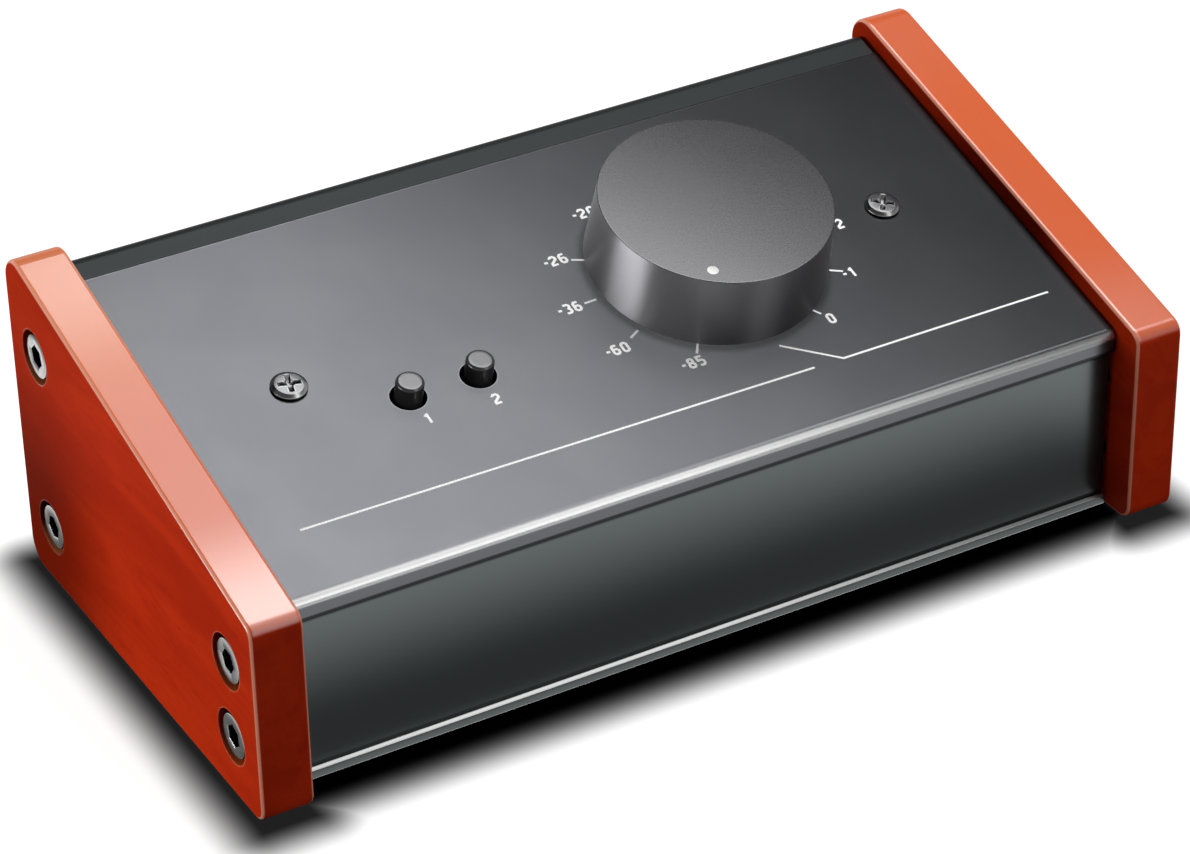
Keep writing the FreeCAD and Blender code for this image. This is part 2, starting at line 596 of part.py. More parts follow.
def top_cover():
    """Folded sheet: sloping top, front flange, and side flanges under the cheeks' screws.

    The front screws pass through slots that are open to the front, the rear ones through holes.
    """
    body = new_body("top_cover")
    flange_low = f"({top_z(COVER_FRONT)} - flange_height)"
    end_low_y = f"({COVER_REAR} + sheet * sin(slope_angle))"
    end_low_z = f"({top_z(COVER_REAR)} - sheet * cos(slope_angle))"
    sketch = new_sketch(body, "YZ_Plane")
    polygon(sketch, [
        (COVER_FRONT, flange_low),
        (COVER_FRONT, top_z(COVER_FRONT)),
        (COVER_REAR, top_z(COVER_REAR)),
        (end_low_y, end_low_z),
        (WALL_FRONT, under_z(WALL_FRONT)),
        (WALL_FRONT, flange_low),
    ])
    pad(body, sketch, f"2 * {INNER_HALF}", symmetric=True)
    round_edges(body, "cover_bend", lambda e: near(e, COVER_FRONT, top_z(COVER_FRONT)))
    round_edges(body, "cover_bend - sheet", lambda e: near(e, WALL_FRONT, under_z(WALL_FRONT)))

    side_front = f"({WALL_FRONT} + side_relief)"
    side_low = "(ground_gap + side_low)"
    land = f"({PORTS[-1][1]} + {BOLT_HOLE} + side_land)"
    sketch = new_sketch(body, "YZ_Plane", CHANNEL_HALF)
    polygon(sketch, [
        (side_front, side_low),
        (WALL_REAR, side_low),
        (WALL_REAR, land),
        (COVER_REAR, land),
        (COVER_REAR, top_z(COVER_REAR)),
        (side_front, top_z(side_front)),
    ])
    flange = pad(body, sketch, "sheet")
    mirror = body.newObject("PartDesign::Mirrored", "Mirrored")
    mirror.Originals = [flange]
    mirror.MirrorPlane = (plane_of(body, "YZ_Plane"), [""])
    body.Tip = mirror
    doc.recompute()
    half = value(INNER_HALF)
    rear_limit = value(COVER_REAR)

    def on_side_fold(edge):
        box = edge.BoundBox
        if box.XLength > 1e-6 or abs(abs(box.XMin) - half) > 1e-6:
            return False
        centre = box.Center
        height = centre.z - value(top_z(str(centre.y)))
        return abs(height) < 1e-4 and box.YMax < rear_limit + 1e-4 and box.YLength > 1
    round_edges(body, "side_bend", on_side_fold)

    tilt = (panel_y("0", "0"), panel_z("0", "0"), "slope_angle")
    sketch = new_sketch(body, "XY_Plane", tilt=tilt)
    circle(sketch, "knob_x", KNOB_UP, "bushing_radius + hole_gap")
    for x in (MONO_X, MUTE_X):
        circle(sketch, x, BUTTON_UP, BUTTON_HOLE)
    for x in SCREW_SIDES:
        circle(sketch, x, SCREW_UP, SMALL_HOLE)
    pocket(body, sketch, "4 * sheet", symmetric=True)
    sketch = new_sketch(body, "YZ_Plane")
    for y, z in PORTS:
        circle(sketch, y, z, BOLT_HOLE)
    pocket(body, sketch, "2 * width", symmetric=True)
    sketch = new_sketch(body, "YZ_Plane")
    for y, z in PORTS[:2]:
        rectangle(sketch, WALL_FRONT, f"{z} - {BOLT_HOLE}", y, f"{z} + {BOLT_HOLE}")
    pocket(body, sketch, "2 * width", symmetric=True)
    return body


# ---------------------------------------------------------------- fasteners

def screw_master(label, shank_radius, shank_length, head_radius, head_height, crown):
    """Screw with its head upwards and the head's underside at the origin."""
    body = new_body(label, node=False)
    revolve(body, [
        ("0", f"-({shank_length})"),
        (shank_radius, f"-({shank_length})"),
        (shank_radius, "0"),
        (head_radius, "0"),
        (head_radius, f"{head_height} - {crown}"),
        (f"{head_radius} - {crown}", head_height),
        ("0", head_height),
    ])
    return body


def fasteners():
    bolt = screw_master("bolt", "bolt_radius", "bolt_length", "bolt_head_radius", "bolt_head_height",
                        "edge_break")
    sketch = new_sketch(bolt, "XY_Plane", "bolt_head_height")
    hexagon(sketch, "bolt_socket")
    pocket(bolt, sketch, "bolt_socket_depth")
    seat = f"(width / 2 - {HEAD_DEPTH})"
    places = [at(f"-{seat}", y, z, (0, 1, 0), -90) for y, z in PORTS]
    places += [at(seat, y, z, (0, 1, 0), 90) for y, z in PORTS]
    copies("cheek_screws", bolt, places)

    panel_screw = screw_master("panel_screw", "small_screw_radius", "small_screw_length",
                               "panel_head_radius", "panel_head_height", "2 * edge_break")
    copies("cover_screws", panel_screw, [at_panel(x, SCREW_UP, "0") for x in SCREW_SIDES])

    small = screw_master("small_screw", "small_screw_radius", "small_screw_length",
                         "small_head_radius", "small_head_height", "2 * edge_break")
    under_board = f"({BOARD_RISE} - board_thickness)"
    copies("control_board_screws", small,
           [at_panel(x, SCREW_UP, under_board, flip=True) for x in SCREW_SIDES])
    face = f"({WALL_REAR} + plate_thickness)"
    copies("connector_screws", small,
           [at(f"{x} + {dx}", face, f"{AXIS_Z} + {dz}", (1, 0, 0), -90)
            for x in (*OUTPUTS.values(), *INPUTS.values()) for dx, dz in PLATE_SCREWS])
    from_above = [at(x, y, BOARD_TOP) for x, y in posts()]
    from_below = [at(x, y, CHANNEL_LOW, (1, 0, 0), 180) for x, y in posts()]
    copies("rear_board_screws", small, from_above + from_below)


def spacer_master(label, length):
    """Hexagonal spacer standing on the origin, tapped right through."""
    body = new_body(label, node=False)
    sketch = new_sketch(body, "XY_Plane")
    hexagon(sketch, "spacer_width")
    circle(sketch, "0", "0", SMALL_THREAD)
    pad(body, sketch, length)
    return body


def posts():
    """Places of the four spacers under the rear board; the rear pair clears the screw port."""
    outer = f"({BOARD_HALF} - post_margin)"
    front = f"({BOARD_FRONT} + post_margin)"
    return [
        (f"-{outer}", front),
        (outer, front),
        ("-post_inner", POST_REAR),
        ("post_inner", POST_REAR),
    ]


def spacers():
    panel_spacer = spacer_master("panel_spacer", "board_depth")
    copies("control_board_spacers", panel_spacer,
           [at_panel(x, SCREW_UP, BOARD_RISE) for x in SCREW_SIDES])
    post = spacer_master("post", f"{BOARD_TOP} - board_thickness - {FLOOR_TOP}")
    copies("rear_board_spacers", post, [at(x, y, FLOOR_TOP) for x, y in posts()])


# ---------------------------------------------------------------- boards and ribbon cable

def control_board():
    """Board under the cover, as deep as the parts that it carries."""
    body = new_body("control_board")
    front = f"(min({BUTTON_UP} - switch_length / 2; {KNOB_UP} - pot_width / 2) - board_edge)"
    rear = f"(max({KNOB_UP} + pot_width / 2; {HEADER_UP} + header_depth / 2) + board_edge)"
    half = f"({SCREW_X} + board_ear)"
    sketch = new_sketch(body, "XY_Plane")
    rectangle(sketch, f"-{half}", front, half, rear)
    for x in SCREW_SIDES:
        circle(sketch, x, SCREW_UP, SMALL_HOLE)
    pad(body, sketch, "board_thickness", reverse=True)
    place_on_panel(body, "0", "0", BOARD_RISE)


def rear_board():
    body = new_body("rear_board")
    sketch = new_sketch(body, "XY_Plane")
    rectangle(sketch, f"-{BOARD_HALF}", BOARD_FRONT, BOARD_HALF, BOARD_REAR)
    for x, y in posts():
        circle(sketch, x, y, SMALL_HOLE)
    pad(body, sketch, "board_thickness", reverse=True)
    place(body, z=BOARD_TOP)


def header(label):
    body = new_body(label)
    sketch = new_sketch(body, "XY_Plane")
    half_width = "header_width / 2"
    half_depth = "header_depth / 2"
    rectangle(sketch, f"-{half_width}", f"-{half_depth}", half_width, half_depth)
    pad(body, sketch, "header_height")
    return body


def ribbon():
    """Two ribbon connectors and their cable.

    The cable leaves the upper connector along the slope and enters the rear one from above.
    """
    place_on_panel(header("control_header"), "header_x", HEADER_UP, BOARD_RISE)
    place(header("rear_header"), "header_x", REAR_HEADER_Y, BOARD_TOP)

    half = "(ribbon_thickness / 2)"
    exit_up = f"({HEADER_UP} + header_depth / 2)"
    exit_rise = f"({BOARD_RISE} + header_height - ribbon_drop)"
    plug_top = f"({BOARD_TOP} + header_height)"

    def edge(side):
        """Start, corner and end of one face of the cable; side is +1 outside and -1 inside."""
        rise = f"({exit_rise} + {side} * {half})"
        start_y = panel_y(exit_up, rise)
        start_z = panel_z(exit_up, rise)
        drop_y = f"({REAR_HEADER_Y} + {side} * {half})"
        corner_z = f"({start_z} + ({drop_y} - {start_y}) * tan(slope_angle))"
        return [(start_y, start_z), (drop_y, corner_z), (drop_y, plug_top)]

    outside = edge(1)
    inside = edge(-1)
    body = new_body("ribbon_cable")
    sketch = new_sketch(body, "YZ_Plane")
    polygon(sketch, outside + inside[::-1])
    pad(body, sketch, "ribbon_width", symmetric=True)
    round_edges(body, f"ribbon_bend + {half}", lambda e: near(e, *outside[1]))
    round_edges(body, f"ribbon_bend - {half}", lambda e: near(e, *inside[1]))
    place(body, "header_x")

    turn = math.radians(90 + value("slope_angle"))
    radius = value("ribbon_bend")
    tangent = radius * math.tan(turn / 2)
    middle = []
    for a, b in zip(outside, inside):
        middle.append(((value(a[0]) + value(b[0])) / 2, (value(a[1]) + value(b[1])) / 2))
    runs = math.dist(middle[0], middle[1]) + math.dist(middle[1], middle[2])
    length = runs - 2 * tangent + radius * turn
    section = value("ribbon_width") * value("ribbon_thickness")
    print(f"ribbon: length {length:.2f} mm, bend radius {radius:.2f} mm, "
          f"volume {body.Shape.Volume:.1f} mm3, section x length {section * length:.1f} mm3")


def resistors():
    master = new_body("resistor", node=False)
    end = "(resistor_length / 2)"
    cap = "(resistor_length / 4)"
    waist = "(resistor_radius - resistor_waist)"
    revolve(master, [
        ("0", f"-{end}"),
        ("resistor_radius", f"-{end}"),
        ("resistor_radius", f"-{cap}"),
        (waist, f"-{cap}"),
        (waist, cap),
        ("resistor_radius", cap),
        ("resistor_radius", end),
        ("0", end),
    ])
    y = f"({REAR_HEADER_Y} - header_depth / 2 - resistor_gap - resistor_length / 2)"
    z = f"{BOARD_TOP} + resistor_radius + thread_gap"
    row = [f"({index} - (resistor_count - 1) / 2) * resistor_pitch"
           for index in range(int(value("resistor_count")))]
    copies("resistors", master, [at(x, y, z, (1, 0, 0), 90) for x in row])


# ---------------------------------------------------------------- volume control

def potentiometer():
    """Four-section potentiometer that hangs from the cover by its threaded bush."""
    body = new_body("pot_body")
    pitch = "((board_depth - pot_plate) / pot_gangs)"
    half = "(pot_width / 2)"
    features = []
    for inset, start, height in (("0", "0", f"{pitch} - gang_step"),
                                 ("gang_inset", f"{pitch} - gang_step", "gang_step")):
        sketch = new_sketch(body, "XY_Plane", start)
        circle(sketch, "0", "0", f"{half} - {inset}")
        features.append(pad(body, sketch, height))
        sketch = new_sketch(body, "XY_Plane", start)
        reach = f"{half} - {inset}"
        rectangle(sketch, f"-({reach})", f"-({reach})", reach, "0")
        features.append(pad(body, sketch, height))
    pattern = body.newObject("PartDesign::LinearPattern", "LinearPattern")
    pattern.Originals = features
    axis = next(f for f in body.Origin.OriginFeatures if f.Role == "Z_Axis")
    pattern.Direction = (axis, [""])
    pattern.Occurrences = int(value("pot_gangs"))
    bind(pattern, "Length", f"{pitch} * (pot_gangs - 1)")
    body.Tip = pattern
    doc.recompute()
    sketch = new_sketch(body, "XY_Plane", "board_depth - pot_plate")
    circle(sketch, "0", "0", "shaft_radius + running_gap")
    pocket(body, sketch, "shaft_tail + 2 * switch_gap")
    place_on_panel(body, "knob_x", KNOB_UP, BOARD_RISE)

    body = new_body("pot_bushing")
    bore = "(shaft_radius + running_gap)"
    revolve(body, [
        (bore, POT_LOW),
        (f"({half} - gang_inset)", POT_LOW),
        (f"({half} - gang_inset)", "-sheet"),
        ("bushing_radius", "-sheet"),
        ("bushing_radius", "bushing_top"),
        (bore, "bushing_top"),
    ])
    place_on_panel(body, "knob_x", KNOB_UP)

    body = new_body("pot_washer")
    sketch = new_sketch(body, "XY_Plane")
    circle(sketch, "0", "0", "washer_radius")
    circle(sketch, "0", "0", "bushing_radius + hole_gap")
    pad(body, sketch, "washer_height")
    place_on_panel(body, "knob_x", KNOB_UP)

    body = new_body("pot_nut")
    sketch = new_sketch(body, "XY_Plane")
    hexagon(sketch, "nut_width")
    circle(sketch, "0", "0", "bushing_radius + thread_gap")
    pad(body, sketch, "nut_height")
    place_on_panel(body, "knob_x", KNOB_UP, "washer_height")


def toward_screw(distance, side="0"):
    """Point on the side of the knob away from the white dot: across and up the panel."""
    return (f"(({distance}) * sin(pointer_angle) - ({side}) * cos(pointer_angle))",
            f"(({distance}) * cos(pointer_angle) + ({side}) * sin(pointer_angle))")


def radial_sketch(body, distance):
    """Sketch square to the set screw, at a distance from the shaft's axis; y is the height."""
    sketch = new_sketch(body, "XZ_Plane")
    sketch.AttachmentOffset = FreeCAD.Placement(Vector(), FreeCAD.Rotation(Vector(0, 1, 0), 1))
    bind(sketch, "AttachmentOffset.Rotation.Angle", "-pointer_angle")
    bind(sketch, "AttachmentOffset.Base.x", f"({distance}) * sin(pointer_angle)")
    bind(sketch, "AttachmentOffset.Base.z", f"-({distance}) * cos(pointer_angle)")
    return sketch


def volume_parts():
    shaft = new_body("pot_shaft")
    sketch = new_sketch(shaft, "XY_Plane", f"({POT_LOW} - shaft_tail)")
    circle(sketch, "0", "0", "shaft_radius")
    pad(shaft, sketch, f"{SHAFT_TOP} - {POT_LOW} + shaft_tail")
    sketch = new_sketch(shaft, "XY_Plane", SHAFT_TOP)
    polygon(sketch, [
        toward_screw("shaft_flat", "2 * shaft_radius"),
        toward_screw("2 * shaft_radius", "2 * shaft_radius"),
        toward_screw("2 * shaft_radius", "-2 * shaft_radius"),
        toward_screw("shaft_flat", "-2 * shaft_radius"),
    ])
    pocket(shaft, sketch, f"{SHAFT_TOP} - bushing_top")
    place_on_panel(shaft, "knob_x", KNOB_UP)

    knob = new_body("volume_knob")
    revolve(knob, [
        ("0", RECESS_TOP),
        ("knob_recess_radius", RECESS_TOP),
        ("knob_recess_radius", "knob_gap"),
        ("knob_radius - knob_edge", "knob_gap"),
        ("knob_radius", "knob_gap + knob_edge"),
        (KNOB_TOP_RADIUS, "knob_height - knob_edge"),
        (f"{KNOB_TOP_RADIUS} - knob_edge", "knob_height"),
        ("0", "knob_height"),
    ])
    sketch = new_sketch(knob, "XY_Plane", RECESS_TOP)
    circle(sketch, "0", "0", "shaft_radius + thread_gap")
    pocket(knob, sketch, f"{SHAFT_TOP} - {RECESS_TOP} + switch_gap", reverse=True)
    sketch = new_sketch(knob, "XY_Plane", "knob_height")
    offset = f"({KNOB_TOP_RADIUS} - pointer_inset)"
    dot = (f"-{offset} * sin(pointer_angle)", f"-{offset} * cos(pointer_angle)")
    circle(sketch, *dot, "pointer_radius + thread_gap")
    pocket(knob, sketch, "pointer_length")
    grub_rise = f"({RECESS_TOP} + {SHAFT_TOP}) / 2"
    sketch = radial_sketch(knob, "0")
    circle(sketch, "0", grub_rise, "grub_radius + thread_gap")
    pocket(knob, sketch, "2 * knob_radius")
    place_on_panel(knob, "knob_x", KNOB_UP)

    pointer = new_body("knob_pointer")
    sketch = new_sketch(pointer, "XY_Plane", "knob_height")
    circle(sketch, *dot, "pointer_radius")
    pad(pointer, sketch, "pointer_length", reverse=True)
    place_on_panel(pointer, "knob_x", KNOB_UP)

    grub = new_body("knob_set_screw")
    sketch = radial_sketch(grub, "shaft_flat")
    circle(sketch, "0", grub_rise, "grub_radius")
    pad(grub, sketch, "grub_length", reverse=True)
    place_on_panel(grub, "knob_x", KNOB_UP)


# ---------------------------------------------------------------- push buttons

def push_button(name, x):
    """Switch body on the control board, its plunger, and the cap that comes up through the cover."""
    switch = new_body(f"{name}_switch")
    switch_top = "(-cap_depth - button_travel - switch_clear)"
    half_width = "switch_width / 2"
    half_length = "switch_length / 2"
    sketch = new_sketch(switch, "XY_Plane", BOARD_RISE)
    rectangle(sketch, f"-{half_width}", f"-{half_length}", half_width, half_length)
    pad(switch, sketch, f"{switch_top} - {BOARD_RISE}")
    sketch = new_sketch(switch, "XY_Plane", switch_top)
    reach = "(plunger_width / 2 + switch_gap)"
    rectangle(sketch, f"-{reach}", f"-{reach}", reach, reach)
    pocket(switch, sketch, "plunger_entry + button_travel + switch_gap")
    place_on_panel(switch, x, BUTTON_UP)

    plunger = new_body(f"{name}_plunger")
    low = f"({switch_top} - plunger_entry)"
    high = "(plunger_grip - cap_depth)"
    half = "plunger_width / 2"
    sketch = new_sketch(plunger, "XY_Plane", low)
    rectangle(sketch, f"-{half}", f"-{half}", half, half)
    pad(plunger, sketch, f"{high} - {low}")
    place_on_panel(plunger, x, BUTTON_UP)

    cap = new_body(f"{name}_button")
    collar_radius = f"{BUTTON_HOLE} + collar_ledge"
    revolve(cap, [
        ("0", "-cap_depth"),
        (collar_radius, "-cap_depth"),
        (collar_radius, "collar_height - cap_depth"),
        ("cap_radius", "collar_height - cap_depth"),
        ("cap_radius", "cap_rise"),
        ("0", "cap_rise"),
    ])
    rim = value("cap_rise")

    def on_rim(edge):
        return abs(edge.BoundBox.ZMin - rim) < 1e-6 and edge.BoundBox.ZLength < 1e-6
    round_edges(cap, "cap_edge", on_rim)
    sketch = new_sketch(cap, "XY_Plane", "-cap_depth")
    rectangle(sketch, f"-{half}", f"-{half}", half, half)
    pocket(cap, sketch, "plunger_grip", reverse=True)
    place_on_panel(cap, x, BUTTON_UP)


# ---------------------------------------------------------------- rear connectors

def connector_plate(body):
    """Rounded flange with two screw holes, standing out from the wall, and the barrel behind it."""
    half_width = "plate_width / 2"
    half_height = "plate_height / 2"
    sketch = new_sketch(body, "XZ_Plane")
    rectangle(sketch, f"-{half_width}", f"-{half_height}", half_width, half_height)
    pad(body, sketch, "plate_thickness", reverse=True)
    round_edges(body, "plate_round", lambda e: e.BoundBox.YLength > 1)
    sketch = new_sketch(body, "XZ_Plane")
    for dx, dz in PLATE_SCREWS:
        circle(sketch, dx, dz, SMALL_HOLE)
    pocket(body, sketch, "plate_thickness")


def input_socket(side, x):
    """Combined three-pole and 6.35 mm jack socket."""
    body = new_body(f"input_socket_{side}")
    connector_plate(body)
    sketch = new_sketch(body, "XZ_Plane")
    circle(sketch, "0", "0", "barrel_radius")
    pad(body, sketch, "combo_depth")
    sketch = new_sketch(body, "XZ_Plane", "-plate_thickness")
    circle(sketch, "0", "0", "groove_outer")
    circle(sketch, "0", "0", "groove_inner")
    pocket(body, sketch, "groove_depth", reverse=True)
    sketch = new_sketch(body, "XZ_Plane", "-plate_thickness")
    circle(sketch, "0", "0", "jack_radius")
    pocket(body, sketch, "jack_depth", reverse=True)
    sketch = new_sketch(body, "XZ_Plane", "-plate_thickness")
    for dx, dz in CONTACTS:
        circle(sketch, dx, dz, "contact_hole")
    pocket(body, sketch, "contact_depth", reverse=True)
    place(body, x, WALL_REAR, AXIS_Z)


def output_socket(side, x):
    """Three-pin output: metal shell, insulator and pins."""
    cavity_floor = "(cavity_depth - plate_thickness)"
    insert_back = f"({cavity_floor} + insert_height)"
    shell_back = f"({insert_back} + shell_floor)"
    shell = new_body(f"output_shell_{side}")
    connector_plate(shell)
    sketch = new_sketch(shell, "XZ_Plane")
    circle(sketch, "0", "0", "barrel_radius")
    pad(shell, sketch, shell_back)
    sketch = new_sketch(shell, "XZ_Plane", "-plate_thickness")
    circle(sketch, "0", "0", "cavity_radius")
    pocket(shell, sketch, "cavity_depth + insert_height", reverse=True)
    sketch = new_sketch(shell, "XZ_Plane", insert_back)
    circle(sketch, "0", "0", "tail_window")
    pocket(shell, sketch, "2 * shell_floor", symmetric=True)
    place(shell, x, WALL_REAR, AXIS_Z)

    insert = new_body(f"output_insert_{side}")
    sketch = new_sketch(insert, "XZ_Plane", cavity_floor)
    circle(sketch, "0", "0", "cavity_radius - thread_gap")
    for dx, dz in CONTACTS:
        circle(sketch, dx, dz, "pin_radius + thread_gap")
    pad(insert, sketch, "insert_height")
    place(insert, x, WALL_REAR, AXIS_Z)

    master = new_body(f"pin_{side}", node=False)
    front = "(plate_thickness - pin_recess)"
    back = f"({shell_back} + pin_tail)"
    tip = "pin_radius / 2"
    revolve(master, [
        ("0", f"-{back}"),
        ("pin_radius", f"-{back}"),
        ("pin_radius", f"{front} - {tip}"),
        (tip, front),
        ("0", front),
    ])
    copies(f"output_pins_{side}", master,
           [at(f"{x} + {dx}", WALL_REAR, f"{AXIS_Z} + {dz}", (1, 0, 0), -90) for dx, dz in CONTACTS])


def mini_jack():
    """3.5 mm jack on the rear board, held in the wall by a round nut."""
    body = new_body("mini_jack")
    half = "mini_width / 2"
    sketch = new_sketch(body, "XZ_Plane", "chassis_wall")
    rectangle(sketch, f"-{half}", f"-{half}", half, half)
    pad(body, sketch, "mini_depth - chassis_wall")
    sketch = new_sketch(body, "XZ_Plane", "chassis_wall")
    circle(sketch, "0", "0", "mini_bush")
    pad(body, sketch, "chassis_wall + mini_rise", reverse=True)
    sketch = new_sketch(body, "XZ_Plane", "-mini_rise")
    circle(sketch, "0", "0", "mini_radius")
    pocket(body, sketch, "mini_bore", reverse=True)
    place(body, "0", WALL_REAR, MINI_Z)

    nut = new_body("mini_jack_nut")
    sketch = new_sketch(nut, "XZ_Plane")
    circle(sketch, "0", "0", "mini_nut_radius")
    circle(sketch, "0", "0", "mini_bush + thread_gap")
    pad(nut, sketch, "mini_nut_height", reverse=True)
    place(nut, "0", WALL_REAR, MINI_Z)


# ---------------------------------------------------------------- feet

def rubber_feet():
    master = new_body("foot", node=False)
    revolve(master, [
        ("0", "0"),
        ("foot_radius - foot_taper", "0"),
        ("foot_radius", CHANNEL_LOW),
        ("0", CHANNEL_LOW),
    ])
    side = f"({CHANNEL_HALF} - foot_margin)"
    rows = (f"({COVER_FRONT} + foot_margin)", f"({WALL_REAR} - foot_margin)")
    copies("rubber_feet", master, [at(x, y, "0") for x in (f"-{side}", side) for y in rows])


# ---------------------------------------------------------------- assembly

cheek("cheek_left", "-width / 2", left=True)
cheek("cheek_right", "width / 2 - cheek_thickness", left=False)
chassis()
rear_panel()
top_cover()
fasteners()
spacers()
control_board()
rear_board()
ribbon()
resistors()
potentiometer()
volume_parts()
push_button("mono", MONO_X)
push_button("mute", MUTE_X)
for side, x in INPUTS.items():
    input_socket(side, x)
for side, x in OUTPUTS.items():
    output_socket(side, x)
mini_jack()
rubber_feet()
doc.recompute()

for item in doc.Objects:
    if "Invalid" in item.State or "Error" in item.State:
        raise RuntimeError(f"{item.Label} failed: {item.State}")
for node in nodes:
    if node.Shape.isNull() or not node.Shape.isValid():
        raise RuntimeError(f"{node.Label} has no valid shape")

os.makedirs("parts", exist_ok=True)
for node in nodes:
    node.Shape.exportStep(os.path.join("parts", f"{node.Label}.step"))
    print(f"{node.Label}: {len(node.Shape.Solids)} solids, {node.Shape.Volume:.1f} mm3")
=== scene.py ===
import json

import bmesh
import bpy
import numpy as np
from bpy.props import FloatProperty, FloatVectorProperty, IntProperty, PointerProperty
from mathutils import Matrix, Vector


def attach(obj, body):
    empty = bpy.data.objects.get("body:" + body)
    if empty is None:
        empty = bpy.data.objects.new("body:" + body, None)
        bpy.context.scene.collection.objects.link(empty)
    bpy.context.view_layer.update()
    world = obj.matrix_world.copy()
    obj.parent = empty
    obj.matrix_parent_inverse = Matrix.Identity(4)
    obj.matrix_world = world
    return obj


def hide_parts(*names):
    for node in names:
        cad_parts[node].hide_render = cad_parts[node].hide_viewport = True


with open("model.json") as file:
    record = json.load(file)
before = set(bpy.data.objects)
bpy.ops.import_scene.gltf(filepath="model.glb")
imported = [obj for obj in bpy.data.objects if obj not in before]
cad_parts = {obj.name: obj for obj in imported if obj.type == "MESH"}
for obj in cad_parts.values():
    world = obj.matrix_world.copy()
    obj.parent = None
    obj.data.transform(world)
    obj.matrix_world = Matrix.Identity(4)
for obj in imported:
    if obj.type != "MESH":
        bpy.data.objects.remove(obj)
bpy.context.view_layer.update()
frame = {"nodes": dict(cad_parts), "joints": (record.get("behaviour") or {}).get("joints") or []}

bl_info = {
    "name": "Desktop monitor controller",
    "version": (1, 0, 0),
    "blender": (4, 5, 0),
    "location": "3D View > Sidebar > Controller",
    "description": "Builds the visible pieces, finishes and studio of a desktop monitor controller",
    "category": "Object",
}

MM = 0.001
JOINTS = {joint["name"]: joint for joint in frame["joints"]}
EFFECTS = {}
FINISHES = {}

# The sloping cover: a point on it, at the volume shaft, and its three directions.
SHAFT = np.array(JOINTS["volume_turn"]["pos_m"])
NORMAL = np.array(JOINTS["volume_turn"]["axis"])
ACROSS = np.array([1.0, 0.0, 0.0])
UP_SLOPE = np.cross(NORMAL, ACROSS)
SET_SCREW_RISE = 10.5 * MM

# Cheek screws in millimetres of the row frame: y, z, and how far the left and right one turn.
CHEEK_SCREWS = ((-37.9, 13.7, 8.0, 33.0), (-37.9, 29.3, 25.0, 3.0), (37.5, 13.7, 47.0, 52.0),
                (37.5, 50.1, 14.0, 20.0))
CHEEK_SCREW_FACE = 94.7
# Cover screws in millimetres across and up from the volume shaft, and how far each turns.
COVER_SCREWS = ((-85.0, 0.295, -12.0), (39.0, 0.295, -33.0))
# Sockets in millimetres of the row frame, and their plates' screws from a socket's middle.
SOCKET_HEIGHT = 31.9
SOCKET_FACE = 42.9
OUTPUT_SOCKETS = (-70.0, -42.0)
INPUT_SOCKETS = (42.0, 70.0)
LATCH_RISE = 13.4
PLATE_SCREWS = ((-9.5, 12.0), (9.5, -12.0))
PLATE_SCREW_TURNS = (10.0, 62.0, 35.0, 81.0, 20.0, 47.0, 5.0, 70.0)

# Footprint in metres, for the floor's shadow: the body's half sizes, and a cheek's middle and half
# sizes.
BODY_HALF = (0.085, 0.0423, 1.0)
CHEEK_MIDDLE = (0.090, 0.0, 0.0)
CHEEK_HALF = (0.005, 0.0485, 1.0)

# Where the finishes change, in metres of the row frame. Two numbers are the start and the end of a
# smooth change, and the knob's are distances from the shaft.
FLANGE_EDGE = 0.0357
IN_FRONT = (-0.0400, -0.0410)
FRONT_TO_REAR = (-0.02, 0.02)
UNDER_FLANGE = (0.0342, 0.0349)
LEDGE_FRONT = (-0.0413, -0.0417)
LEDGE_FOOT = (0.0060, 0.0055)
KNOB_SHADE = (0.0243, 0.0225)

# Meshes: points nearer than this are one, edges shorter than this go, and a face stands upright on
# the cover below this share of the cover's normal.
SAME_POINT = 1e-7
SHORTEST_EDGE = 1e-8
UPRIGHT = 0.35


# ---------------------------------------------------------------- settings

def length(name, description, millimetres):
    return FloatProperty(name=name, description=description, default=millimetres * MM,
                         unit="LENGTH", precision=5, min=0.0)


def colour(name, description, *linear):
    return FloatVectorProperty(name=name, description=description, default=linear,
                               subtype="COLOR", size=3, min=0.0, max=1.0)


class KnobSettings(bpy.types.PropertyGroup):
    radius: length("Foot radius", "Radius of the knob at its foot", 22.6)
    taper: length("Taper", "Top radius smaller than the foot's by this much", 0.8)
    height: length("Height", "Top of the knob above the cover", 15.9)
    gap: length("Gap", "Space under the knob", 0.8)
    rim: length("Rim rounding", "Radius of the rounded rim", 0.15)
    crown: length("Crown", "Middle of the knob's top above its rim", 0.30)
    dot_radius: length("Dot radius", "Radius of the white dot", 1.05)
    dot_inset: length("Dot inset", "Middle of the white dot from the knob's top edge", 2.9)
    dot_angle: FloatProperty(name="Dot angle", description="White dot left of straight down",
                             default=np.radians(32.3), subtype="ANGLE", unit="ROTATION")
    segments: IntProperty(name="Segments", description="Facets round the knob", default=240, min=24)


class ButtonSettings(bpy.types.PropertyGroup):
    radius: length("Cap radius", "Radius of a button cap", 2.6)
    rise: length("Rise", "Top of a cap above the cover", 4.0)
    rim: length("Rim rounding", "Rounding of a cap's rim", 0.60)


class PrintSettings(bpy.types.PropertyGroup):
    line: length("Line width", "Width of the printed rule lines", 0.42)
    digit_width: length("Digit width", "Width of a printed digit", 1.55)
    digit_height: length("Digit height", "Height of a printed digit", 2.6)
    advance: length("Digit pitch", "From one digit to the next", 1.95)
    stroke: length("Digit stroke", "Width of a digit's strokes", 0.50)
    tick: length("Tick length", "Length of the dial's ticks", 2.5)


